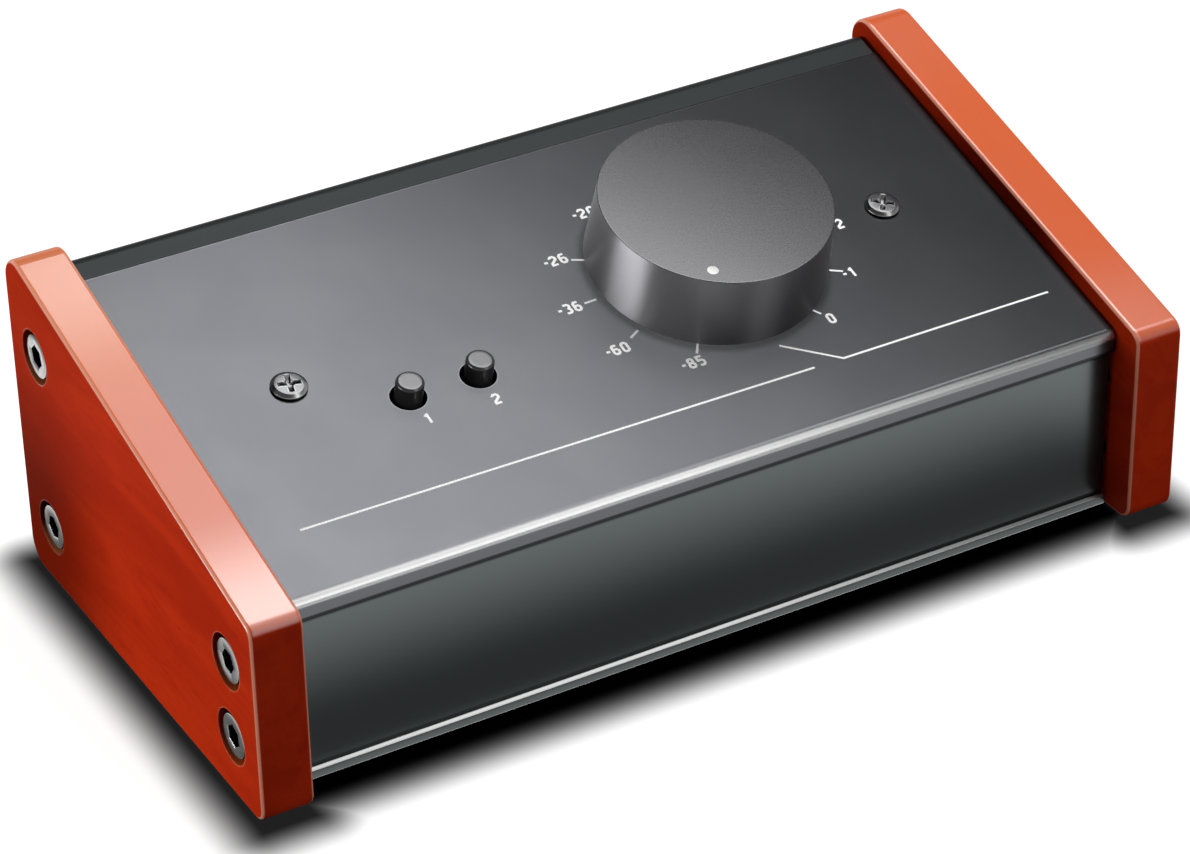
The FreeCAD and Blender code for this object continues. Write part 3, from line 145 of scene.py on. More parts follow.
class FinishSettings(bpy.types.PropertyGroup):
    wood: colour("Lacquered wood", "Stained and lacquered cheeks", 0.48, 0.026, 0.0048)
    # Painted light: the cheeks' tops are painted paler than their sides.
    wood_lit_top: colour("Painted light on the wood's top", "Top of the cheeks painted paler by the light", 0.80, 0.140, 0.030)
    cover: colour("Cover", "Satin metallic paint of the cover", 0.052, 0.053, 0.058)
    channel: colour("Extrusions", "Anodised front wall, floor and rear rail", 0.046, 0.052, 0.052)
    knob: colour("Knob", "Blasted and anodised knob", 0.074, 0.074, 0.078)
    printing: colour("Printing", "White ink on the cover", 0.80, 0.80, 0.79)


class StageSettings(bpy.types.PropertyGroup):
    key: FloatProperty(name="Key light", description="Power of the softbox above", default=4.6,
                       unit="POWER")
    side: FloatProperty(name="Side light", description="Power of the softbox on the left",
                        default=2.3, unit="POWER")
    front: FloatProperty(name="Front light", description="Power of the tall softbox in front",
                         default=3.0, unit="POWER")
    sky: FloatProperty(name="Sky", description="Strength of the plain light all round",
                       default=0.08, min=0.0)


class ControllerSettings(bpy.types.PropertyGroup):
    knob: PointerProperty(type=KnobSettings)
    button: PointerProperty(type=ButtonSettings)
    printing: PointerProperty(type=PrintSettings)
    finish: PointerProperty(type=FinishSettings)
    stage: PointerProperty(type=StageSettings)


# ---------------------------------------------------------------- surfaces

def rounded(corners, radii, steps=6):
    """Open outline through the corners, in which each inner corner becomes a circular arc that
    touches both its sides. The arc's middle lies on the bisector at radius / sin(half the angle),
    and its points turn evenly from the first touching point to the second."""
    corners = np.asarray(corners, float)
    radii = np.asarray(radii, float)[:, None]
    before = corners[:-2] - corners[1:-1]
    after = corners[2:] - corners[1:-1]
    before /= np.linalg.norm(before, axis=1)[:, None]
    after /= np.linalg.norm(after, axis=1)[:, None]
    half = np.arccos(np.clip((before * after).sum(1), -1, 1))[:, None] / 2
    bisector = before + after
    bisector /= np.linalg.norm(bisector, axis=1)[:, None]
    middle = corners[1:-1] + bisector * radii / np.sin(half)
    first = corners[1:-1] + before * radii / np.tan(half) - middle
    last = corners[1:-1] + after * radii / np.tan(half) - middle
    turn = np.pi - 2 * half[:, None]
    share = np.linspace(0, 1, steps)[None, :, None]
    arcs = middle[:, None] + (first[:, None] * np.sin((1 - share) * turn)
                              + last[:, None] * np.sin(share * turn)) / np.sin(turn)
    return np.vstack([corners[:1], arcs.reshape(-1, 2), corners[-1:]])


def grid(points, around=False):
    """Four-sided faces between the rows and columns of points; around joins the last column
    to the first."""
    rows, columns = points.shape[:2]
    index = np.arange(rows * columns).reshape(rows, columns)
    if around:
        index = np.hstack([index, index[:, :1]])
    faces = np.stack([index[:-1, :-1], index[:-1, 1:], index[1:, 1:], index[1:, :-1]], -1)
    return points.reshape(-1, 3), faces.reshape(-1, 4)


def turned(outline, angles):
    """Outline (radius, height) carried round the height axis: x = r cos t, y = r sin t. A radius
    may be one number for the whole ring or one for each angle."""
    radius = np.array([np.broadcast_to(r, angles.shape) for r, _ in outline])
    height = np.array([np.broadcast_to(h, angles.shape) for _, h in outline])
    return np.stack([radius * np.cos(angles), radius * np.sin(angles), height], -1)


def full_turn(count):
    return np.linspace(0, 2 * np.pi, count, endpoint=False)


def lathe(outline, angles):
    """Mesh (points, faces) of an outline turned round the height axis."""
    return grid(turned(outline, angles), around=True)


def placed(mesh, origin, *directions):
    """Mesh of a local frame, given its origin and its three directions in the row frame."""
    points, faces = mesh
    return points @ np.array(directions, float) + np.asarray(origin, float), faces


def spun(mesh, degrees):
    """Mesh turned about its height axis."""
    turn = np.radians(degrees)
    return placed(mesh, (0, 0, 0), (np.cos(turn), np.sin(turn), 0),
                  (-np.sin(turn), np.cos(turn), 0), (0, 0, 1))


def on_cover(mesh, across=0.0, up=0.0):
    """Mesh whose x runs across, y up the slope and z out of the cover, at a place given in
    millimetres across and up from the volume shaft."""
    origin = SHAFT + (ACROSS * across + UP_SLOPE * up) * MM
    return placed(mesh, origin, ACROSS, UP_SLOPE, NORMAL)


def on_rear(mesh, x, z):
    """Mesh that stands out of the sockets' plates, at a place given in millimetres."""
    return placed(mesh, np.array([x, SOCKET_FACE, z]) * MM, (-1, 0, 0), (0, 0, 1), (0, 1, 0))


def piece(name, parts, body, slot, *replaced, finish=None, sharp=32, wall=None):
    """Mesh object from (points, faces) parts in the row frame. Doubles are merged, which closes
    seams and poles, faces are turned outwards, and only edges sharper than the angle stay hard.
    The finish is the slot's own where none is named. Wall is a finish for the faces that stand on
    the cover, whose normals lie along it."""
    offsets = np.cumsum([0] + [len(points) for points, _ in parts])
    points = np.vstack([points for points, _ in parts])
    faces = [face for (_, part), offset in zip(parts, offsets) for face in (part + offset).tolist()]
    mesh = bpy.data.meshes.new(name)
    mesh.from_pydata(points.tolist(), [], faces)
    work = bmesh.new()
    work.from_mesh(mesh)
    bmesh.ops.remove_doubles(work, verts=work.verts, dist=SAME_POINT)
    bmesh.ops.dissolve_degenerate(work, dist=SHORTEST_EDGE, edges=work.edges)
    bmesh.ops.recalc_face_normals(work, faces=work.faces)
    work.to_mesh(mesh)
    work.free()
    mesh.shade_smooth()
    mesh.set_sharp_from_angle(angle=np.radians(sharp))
    mesh.materials.append(FINISHES[finish or slot])
    if wall:
        mesh.materials.append(FINISHES[wall])
        normals = np.zeros(3 * len(mesh.polygons))
        mesh.polygons.foreach_get("normal", normals)
        upright = np.abs(normals.reshape(-1, 3) @ NORMAL) < UPRIGHT
        mesh.polygons.foreach_set("material_index", upright.astype(np.int32))
    made = bpy.data.objects.new(name, mesh)
    bpy.context.scene.collection.objects.link(made)
    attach(made, body)
    if replaced:
        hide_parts(*replaced)
    return made


def leave_mirrors(*objects):
    """The satin cover keeps its even tone in front of these and of what they hide."""
    for item in objects:
        item.visible_glossy = False


# ---------------------------------------------------------------- shared effects

BLACK = (0.0, 0.0, 0.0, 1.0)


def node(tree, kind, label, inputs=None, **settings):
    """Adds a shader node, sets it up, and gives each named input a number, a colour or a link."""
    made = tree.nodes.new(kind if kind.startswith("Node") else "ShaderNode" + kind)
    made.label = label
    made.location = (190 * (len(tree.nodes) % 9), -240 * (len(tree.nodes) // 9))
    for key, value in settings.items():
        setattr(made, key, value)
    for key, value in (inputs or {}).items():
        if isinstance(value, bpy.types.NodeSocket):
            tree.links.new(value, made.inputs[key])
        else:
            made.inputs[key].default_value = value
    return made


def math(tree, operation, label, *values, clamp=False):
    return node(tree, "Math", label, dict(enumerate(values)), operation=operation,
                use_clamp=clamp).outputs[0]


def times(tree, label, first, second):
    return math(tree, "MULTIPLY", label, first, second)


def vector(tree, operation, label, *values, output=0):
    return node(tree, "VectorMath", label, dict(enumerate(values)),
                operation=operation).outputs[output]


def remap(tree, label, value, low, high, to_low=0.0, to_high=1.0):
    """Smoothly remaps a value between two limits."""
    inputs = {"Value": value, "From Min": low, "From Max": high,
              "To Min": to_low, "To Max": to_high}
    return node(tree, "MapRange", label, inputs, interpolation_type="SMOOTHSTEP").outputs["Result"]


def mask(tree, label, *ramps):
    """Product of smooth ramps, each given as its label, value and limits."""
    share = remap(tree, *ramps[0])
    for ramp in ramps[1:]:
        share = math(tree, "MULTIPLY", label, share, remap(tree, *ramp))
    return share


def blend(tree, label, share, first, second):
    """Mixes two colours by a share."""
    return node(tree, "Mix", label, {0: share, 6: first, 7: second}, data_type="RGBA").outputs[2]


def darken(tree, label, share, base):
    return blend(tree, label, share, base, BLACK)


def noise(tree, label, place, scale, detail=2.0, roughness=0.5, distortion=0.0):
    inputs = {"Vector": place, "Scale": scale, "Detail": detail, "Roughness": roughness,
              "Distortion": distortion}
    return node(tree, "TexNoise", label, inputs).outputs["Fac"]


def separate(tree, label, value):
    """The three numbers of a vector, by their letters."""
    return node(tree, "SeparateXYZ", label, {0: value}).outputs


def object_place(tree):
    return node(tree, "TexCoord", "Object place").outputs["Object"]


def spot(tree):
    return separate(tree, "Place", object_place(tree))


def own_normal(tree):
    return node(tree, "NewGeometry", "Own normal").outputs["Normal"]


def facing(tree):
    return separate(tree, "Facing", own_normal(tree))


def beyond(tree, label, place, half):
    """Distance outside a box round the middle, from a place with its signs taken off: the length
    of what is left of it past the box's half sizes."""
    past = vector(tree, "SUBTRACT", label, place, half)
    outside = vector(tree, "MAXIMUM", label, past, (0.0, 0.0, 0.0))
    return vector(tree, "LENGTH", label, outside, output="Value")


def effect(name, inputs, output, normal=None):
    """New node group with number inputs, one number output and, where named, a normal; gives its
    tree and input sockets."""
    tree = bpy.data.node_groups.new(name, "ShaderNodeTree")
    for label, default in inputs.items():
        tree.interface.new_socket(name=label, in_out="INPUT",
                                  socket_type="NodeSocketFloat").default_value = default
    tree.interface.new_socket(name=output, in_out="OUTPUT", socket_type="NodeSocketFloat")
    if normal:
        tree.interface.new_socket(name=normal, in_out="OUTPUT", socket_type="NodeSocketVector")
    return tree, node(tree, "NodeGroupInput", "Inputs").outputs


def give(tree, *values):
    node(tree, "NodeGroupOutput", "Output", dict(enumerate(values)))
    return tree


def make_speckle():
    """Fine grain of paint, blasting or moulding: fine noise squeezed towards its middle."""
    tree, wanted = effect("Fine speckle", {"Grains per metre": 3000.0, "Contrast": 0.5}, "Speckle")
    grains = noise(tree, "Grains", object_place(tree), wanted["Grains per metre"], roughness=0.6)
    centred = math(tree, "SUBTRACT", "Centred", grains, 0.5)
    spread = times(tree, "Spread", centred, wanted["Contrast"])
    return give(tree, math(tree, "MULTIPLY_ADD", "Speckle", spread, 4.0, 0.5, clamp=True))


def make_marks():
    """Wide soft patches left by wiping and handling."""
    tree, wanted = effect("Handling marks", {"Patches per metre": 30.0, "Amount": 1.0}, "Marks")
    patches = noise(tree, "Patches", object_place(tree), wanted["Patches per metre"], 3.0, 0.55,
                    0.4)
    centred = math(tree, "SUBTRACT", "Centred", patches, 0.5)
    return give(tree, times(tree, "Marks", centred, wanted["Amount"]))


def make_wear():
    """Mask of the outer edges: where the bevelled normal leaves the surface's own normal, broken
    up by noise. The bevelled normal comes out as well, to round the edge's shading."""
    tree, wanted = effect("Edge wear", {"Radius": 0.0005, "Amount": 1.0, "Breaks per metre": 400.0},
                          "Wear", "Rounded normal")
    bevel = node(tree, "Bevel", "Bevelled normal", {"Radius": wanted["Radius"]},
                 samples=4).outputs["Normal"]
    same = vector(tree, "DOT_PRODUCT", "Agreement", bevel, own_normal(tree), output="Value")
    edge = remap(tree, "Edge", same, 0.995, 0.93)
    breaks = noise(tree, "Breaks", object_place(tree), wanted["Breaks per metre"], 3.0)
    worn = times(tree, "Worn edge", edge, remap(tree, "Broken", breaks, 0.30, 0.62, 0.35, 1.0))
    return give(tree, math(tree, "MULTIPLY", "Wear", worn, wanted["Amount"], clamp=True), bevel)


def make_dust():
    """Thin dust on faces that look up, thicker in patches and fine specks."""
    tree, wanted = effect("Settled dust", {"Amount": 0.1, "Patches per metre": 60.0}, "Dust")
    upward = remap(tree, "Upward", facing(tree)["Z"], 0.55, 0.98)
    place = object_place(tree)
    patches = noise(tree, "Patches", place, wanted["Patches per metre"], 4.0)
    specks = node(tree, "TexVoronoi", "Specks", {"Vector": place, "Scale": 1600.0})
    grains = remap(tree, "Grains", specks.outputs["Distance"], 0.22, 0.05)
    cloud = remap(tree, "Cloud", patches, 0.35, 0.75, 0.3, 1.0)
    both = math(tree, "MULTIPLY_ADD", "Cloud and grains", grains, 0.5, cloud)
    film = times(tree, "Film", both, upward)
    return give(tree, math(tree, "MULTIPLY", "Dust", film, wanted["Amount"], clamp=True))


def make_lines():
    """Fine drawn or turned lines: noise stretched far along one direction."""
    tree, wanted = effect("Drawn lines", {"Along X": 8.0, "Along Y": 2400.0, "Along Z": 2400.0},
                          "Lines")
    stretch = node(tree, "CombineXYZ", "Stretch",
                   {letter: wanted["Along " + letter] for letter in "XYZ"}).outputs["Vector"]
    place = vector(tree, "MULTIPLY", "Stretched place", object_place(tree), stretch)
    return give(tree, noise(tree, "Lines", place, 1.0))


def make_painted_hollow_shade():
    """Painted shade: darkens recesses and narrow corners, where little of the open room is seen."""
    tree, wanted = effect("Painted shade in hollows", {"Reach": 0.001, "Amount": 1.0}, "Painted hollow shade")
    open_room = node(tree, "AmbientOcclusion", "Open room", {"Distance": wanted["Reach"]},
                     samples=6)
    closed = remap(tree, "Closed in", open_room.outputs["AO"], 0.78, 0.45)
    return give(tree, math(tree, "MULTIPLY", "Painted hollow shade", closed, wanted["Amount"], clamp=True))


def use(tree, name, **inputs):
    """Places a shared effect in a material and gives its output."""
    made = node(tree, "Group", name, node_tree=EFFECTS[name])
    for key, value in inputs.items():
        made.inputs[key.replace("_", " ")].default_value = value
    return made.outputs[0]


# ---------------------------------------------------------------- finishes

GRAIN_HEIGHT = 0.00005
PORE_HEIGHT = 0.00004
RIDGE_HEIGHT = 0.0003
WIRE_PITCH = 0.00127


def rgba(values, scale=1.0):
    return (*[min(1.0, value * scale) for value in values], 1.0)


def start(name, **fixed):
    """New material with a Principled shader whose fixed sockets are set directly."""
    made = bpy.data.materials.new(name)
    made.use_nodes = True
    tree = made.node_tree
    tree.nodes.clear()
    shader = node(tree, "BsdfPrincipled", "Finish",
                  {key.replace("_", " "): value for key, value in fixed.items()})
    node(tree, "OutputMaterial", "Output", {"Surface": shader.outputs["BSDF"]})
    return made, tree, shader


def dress(tree, shader, base, rough, height=None, strength=1.0, distance=1.0, normal=None):
    """Joins the colour, the roughness and, where given, a relief over a normal to the shader."""
    tree.links.new(base, shader.inputs["Base Color"])
    tree.links.new(rough, shader.inputs["Roughness"])
    if height:
        inputs = {"Height": height, "Strength": strength, "Distance": distance}
        if normal:
            inputs["Normal"] = normal
        relief = node(tree, "Bump", "Relief", inputs)
        tree.links.new(relief.outputs["Normal"], shader.inputs["Normal"])


def painted_flank_highlight(tree, base, tone):
    """Painted highlight: the flanks of a turned wall painted brighter than its front, most of
    all on the left.
    """
    side = facing(tree)["X"]
    flank = math(tree, "MAXIMUM", "Flanks", remap(tree, "Left flank", side, -0.20, -0.95),
                 remap(tree, "Right flank", side, 0.1, 0.6, 0.0, 0.23))
    return blend(tree, "Painted highlight on the turned flanks", flank, base, rgba(tone, 4.6))


def painted_fold_highlight(tree, base, tone, pale):
    """Painted highlight: edges that turn from the top to the front painted paler, and less so on
    the right.
    """
    way = facing(tree)
    fold = mask(tree, "Fold", ("Past the flat", way["Z"], 0.90, 0.74),
                ("Before the wall", way["Z"], 0.04, 0.27),
                ("Turning to the front", way["Y"], -0.25, -0.35),
                ("Painted highlight less on the right", spot(tree)["X"], -0.01, 0.085, 1.0, 0.6))
    return blend(tree, "Painted highlight along the fold", fold, base, rgba([pale * sum(tone) / 3] * 3))


def front_line(tree, label, base, low, high, depth):
    """Dark line on the front, between two heights."""
    place = spot(tree)
    line = mask(tree, label, ("Height", place["Z"], low, high, 0.0, depth),
                ("In front", place["Y"], *IN_FRONT))
    return darken(tree, label, line, base)


def painted_ledge_highlight(tree, base):
    """The ledge at the foot of the front wall, with a painted highlight that is strongest on the
    left, and round like a bead; gives the colour and the bead's normal."""
    place, own = spot(tree), own_normal(tree)
    ledge = mask(tree, "Ledge", ("Flat", separate(tree, "Facing", own)["Z"], 0.70, 0.87),
                 ("Front half", place["Y"], *LEDGE_FRONT),
                 ("Down at the foot", place["Z"], *LEDGE_FOOT))
    ledge_highlight = times(tree, "Painted highlight on the ledge", ledge,
                 remap(tree, "Painted highlight less on the right", place["X"], 0.0, 0.085, 1.0, 0.3))
    bead = node(tree, "Mix", "Rounded like a bead", {0: ledge, 4: own, 5: (0.0, -0.866, 0.5)},
                data_type="VECTOR").outputs[1]
    return (blend(tree, "Ledge with its painted highlight", ledge_highlight, base, (0.34, 0.345, 0.34, 1.0)),
            vector(tree, "NORMALIZE", "Bead normal", bead))


def grained(name, tone, roughness, grain=3000.0, contrast=0.25, relief=0.1, wear=0.3, worn=1.6,
            depth=0.14, dust=0.0, lines=None, along=None, handling=0.12, breaks=400.0, fold_highlight=0.0,
            hollow_shade=0.0, reach=0.001, channel=False, foot=None, hem=0.0, **fixed):
    """Finish with a fine grain in its colour and relief, handling marks in its roughness, paler
    worn edges, and dust where wanted. Depth is how far the grain darkens and lightens the colour.
    Lines, where given, stretch the grain along a direction. Along is the direction in which a
    turned wall draws its highlight out; it also paints a highlight on the wall's flanks. The
    fold's strength is how far edges that turn to the front are painted paler, a painted highlight.
    Channel makes the part behind the middle darker and rougher, shades a line under the cover's
    flange, and rounds the ledge and paints a highlight on it. Foot is the place of a knob that
    shades what lies round it. Hem is the height of a front edge with a dark line. The hollows'
    amount is how far painted shade darkens hollows within the reach."""
    made, tree, shader = start(name, **fixed)
    if lines:
        grains = use(tree, "Drawn lines", **dict(zip(("Along_X", "Along_Y", "Along_Z"), lines)))
    else:
        grains = use(tree, "Fine speckle", Grains_per_metre=grain, Contrast=contrast)
    base = blend(tree, "Grained colour", grains, rgba(tone, 1 - depth), rgba(tone, 1 + depth))
    edges = use(tree, "Edge wear", Amount=wear, Breaks_per_metre=breaks)
    base = blend(tree, "Worn colour", edges, base, rgba([0.02 + worn * value for value in tone]))
    marks = use(tree, "Handling marks", Amount=handling)
    rough = math(tree, "ADD", "Marked roughness", marks, roughness)
    normal = None
    if along is not None:
        drawn = node(tree, "CombineXYZ", "Along the shaft", dict(zip("XYZ", along)))
        tree.links.new(drawn.outputs["Vector"], shader.inputs["Tangent"])
        # Painted highlight on the turned wall's flanks.
        base = painted_flank_highlight(tree, base, tone)
    if fold_highlight:
        # Painted highlight along the fold.
        base = painted_fold_highlight(tree, base, tone, fold_highlight)
    if channel:
        behind = remap(tree, "Behind the middle", spot(tree)["Y"], *FRONT_TO_REAR)
        base = darken(tree, "Darker behind", times(tree, "Darker", behind, 0.45), base)
        rough = math(tree, "MULTIPLY_ADD", "Rougher behind", behind, 0.25, rough)
        base = front_line(tree, "Shaded under the flange", base, *UNDER_FLANGE, 0.95)
        # Painted highlight on the ledge, which is rounded like a bead.
        base, normal = painted_ledge_highlight(tree, base)
    if foot is not None:
        apart = vector(tree, "DISTANCE", "From the foot", object_place(tree), foot,
                       output="Value")
        shade = remap(tree, "Shade at the foot", apart, *KNOB_SHADE, 0.0, 0.5)
        base = darken(tree, "Shaded at the foot", shade, base)
    if hem:
        base = front_line(tree, "Shaded hem", base, hem + 0.0006, hem + 0.0003, 0.85)
    if hollow_shade:
        # Painted shade in the hollows.
        hollow_darkness = use(tree, "Painted shade in hollows", Reach=reach, Amount=hollow_shade)
        base = blend(tree, "Colour with painted hollow shade", hollow_darkness, base, (0.004, 0.004, 0.004, 1.0))
    if dust:
        film = use(tree, "Settled dust", Amount=dust)
        base = blend(tree, "Dusty colour", film, base, (0.42, 0.40, 0.37, 1.0))
    rough = math(tree, "MULTIPLY_ADD", "Grained roughness", grains, 0.06, rough, clamp=True)
    dress(tree, shader, base, rough, grains, relief, GRAIN_HEIGHT, normal)
    return made


def lacquered_wood(tone, lit_top_tone):
    """Stained wood under clear lacquer: soft figure along the cheek, fine pores, arrises worn paler
    and given a painted highlight. The top is painted paler, a painted light, and warmer towards
    the back of the left cheek; low towards the back the cheeks are painted darker, a painted shade.
    The top is polished by hands, as the arrises are; the upright faces stay satin."""
    made, tree, shader = start("lacquered_wood", Specular_IOR_Level=0.0, Coat_Roughness=0.26,
                               Coat_IOR=2.0)
    along = node(tree, "Mapping", "Along the cheek",
                 {"Vector": object_place(tree), "Rotation": (0.27, 0.0, 0.0),
                  "Scale": (1.0, 0.16, 1.0)}).outputs["Vector"]
    figure = noise(tree, "Figure", along, 120.0, 5.0, 0.6, 0.5)
    fibres = noise(tree, "Fibres", along, 2100.0)
    mottle = noise(tree, "Mottle", object_place(tree), 42.0)
    base = rgba([value * share for value, share in zip(tone, (0.86, 0.80, 0.82))])
    for label, height, low, high, depth, shares in (
            ("Figured stain", figure, 0.36, 0.66, 1.0, (1.10, 1.20, 1.15)),
            ("Mottled stain", mottle, 0.35, 0.68, 0.35, (1.10, 1.30, 1.30)),
            ("Fibres in the stain", fibres, 0.55, 0.74, 0.28, (0.55, 0.42, 0.45))):
        base = blend(tree, label, remap(tree, label, height, low, high, 0.0, depth), base,
                     rgba([value * share for value, share in zip(tone, shares)]))
    edges = use(tree, "Edge wear", Radius=0.0005, Amount=0.8, Breaks_per_metre=160.0)
    base = blend(tree, "Rubbed arris", edges, base, (0.80, 0.24, 0.12, 1.0))
    way, place = facing(tree), spot(tree)
    # Painted shade: the cheeks darker low down towards the back.
    low_rear_shade = mask(tree, "Darker low behind", ("To the back", place["Y"], 0.0, 0.040, 0.0, 0.95),
                ("Low down", place["Z"], 0.052, 0.020, 0.2, 1.0))
    base = blend(tree, "Painted shade low behind", low_rear_shade, base, rgba(tone, 0.30))
    # Painted light: the left cheek's top painted warmer towards the back.
    warmer_left_top = mask(tree, "Painted warmer behind", ("Left cheek", place["X"], 0.0, -0.05),
                    ("Towards the back", place["Y"], -0.010, 0.030, 0.0, 0.5))
    paler = blend(tree, "Painted warmer top", warmer_left_top, rgba(lit_top_tone), (1.0, 0.37, 0.15, 1.0))
    # Painted light: the top painted paler than the upright faces.
    base = blend(tree, "Painted lighter top", remap(tree, "Top", way["Z"], 0.25, 0.85, 0.0, 0.85), base,
                 paler)
    # Painted highlight: the rounded arrises painted paler.
    sideways = math(tree, "ABSOLUTE", "Sideways", way["X"])
    arris = mask(tree, "Arris", ("Off the flat", sideways, 0.25, 0.50),
                 ("Off the side", sideways, 0.98, 0.88, 0.0, 0.75))
    base = blend(tree, "Painted highlight on the arrises", arris, base, (0.86, 0.36, 0.24, 1.0))
    hand = math(tree, "MAXIMUM", "Polished by the hand",
                remap(tree, "Front end", place["Y"], -0.022, -0.045, 0.38, 1.0),
                remap(tree, "Rear end", place["Y"], 0.010, 0.040, 0.38, 0.80))
    turn = remap(tree, "Polished where it turns", way["Z"], 0.95, 0.90)
    polish = times(tree, "Polished top",
                   remap(tree, "Facing up", way["Z"], 0.25, 0.60, 0.01, 1.0),
                   math(tree, "MAXIMUM", "Most polished", hand, turn))
    polish = math(tree, "MULTIPLY_ADD", "Polished edges", edges, 0.3, polish, clamp=True)
    tree.links.new(polish, shader.inputs["Coat Weight"])
    marks = use(tree, "Handling marks", Amount=0.25)
    rough = math(tree, "ADD", "Marked roughness", marks, 0.45, clamp=True)
    dress(tree, shader, base, rough, fibres, 0.12, PORE_HEIGHT,
          edges.node.outputs["Rounded normal"])
    return made


def circuit_board(name, tone):
    """Green solder mask over copper tracks that run across and along the board."""
    made, tree, shader = start(name, Metallic=0.0, Coat_Weight=0.3, Coat_Roughness=0.2)
    tracks = node(tree, "TexBrick", "Tracks",
                  {"Vector": object_place(tree), "Scale": 160.0, "Mortar Size": 0.06,
                   "Bias": -0.2, "Color1": rgba(tone), "Color2": rgba(tone, 0.9),
                   "Mortar": rgba(tone, 2.2)}, offset=0.37, squash=0.7).outputs
    weave = use(tree, "Fine speckle", Grains_per_metre=2400.0, Contrast=0.5)
    base = blend(tree, "Woven colour", weave, tracks["Color"], rgba(tone, 0.8))
    rough = math(tree, "MULTIPLY_ADD", "Woven roughness", weave, 0.15, 0.3)
    dress(tree, shader, base, rough, tracks["Fac"], 0.3, PORE_HEIGHT)
    return made


def ribbon_strip(name, tone):
    """Grey ribbon cable: ten ridges across its width, one edge wire coloured."""
    made, tree, shader = start(name)
    across = spot(tree)["X"]
    ridge = math(tree, "COSINE", "Ridges", times(tree, "Wires", across, 2 * np.pi / WIRE_PITCH))
    base = blend(tree, "Ridged colour", remap(tree, "Ridge shade", ridge, -1.0, 0.2),
                 rgba(tone, 0.7), rgba(tone))
    edge = remap(tree, "Edge wire", across, -0.0171, -0.0172)
    base = blend(tree, "Marked wire", edge, base, (0.35, 0.03, 0.02, 1.0))
    grain = use(tree, "Fine speckle", Grains_per_metre=5000.0, Contrast=0.3)
    rough = math(tree, "MULTIPLY_ADD", "Grained roughness", grain, 0.1, 0.45)
    dress(tree, shader, base, rough, ridge, 0.5, RIDGE_HEIGHT)
    return made


def banded_resistor(name, tone):
    """Glazed body with brown, black and gold bands at even steps along it."""
    made, tree, shader = start(name, Coat_Weight=0.5, Coat_Roughness=0.15)
    step = math(tree, "FRACT", "Step", times(tree, "Along", spot(tree)["Y"], 700.0))
    patch = use(tree, "Handling marks", Patches_per_metre=900.0, Amount=2.0)
    stripe = blend(tree, "Band colours", remap(tree, "Which band", patch, -0.1, 0.1),
                   (0.16, 0.05, 0.02, 1.0), (0.45, 0.28, 0.06, 1.0))
    base = blend(tree, "Banded body", remap(tree, "Band", step, 0.30, 0.36), stripe, rgba(tone))
    grain = use(tree, "Fine speckle", Grains_per_metre=4000.0, Contrast=0.3)
    dress(tree, shader, base,
          math(tree, "MULTIPLY_ADD", "Grained roughness", grain, 0.1, 0.22))
    return made


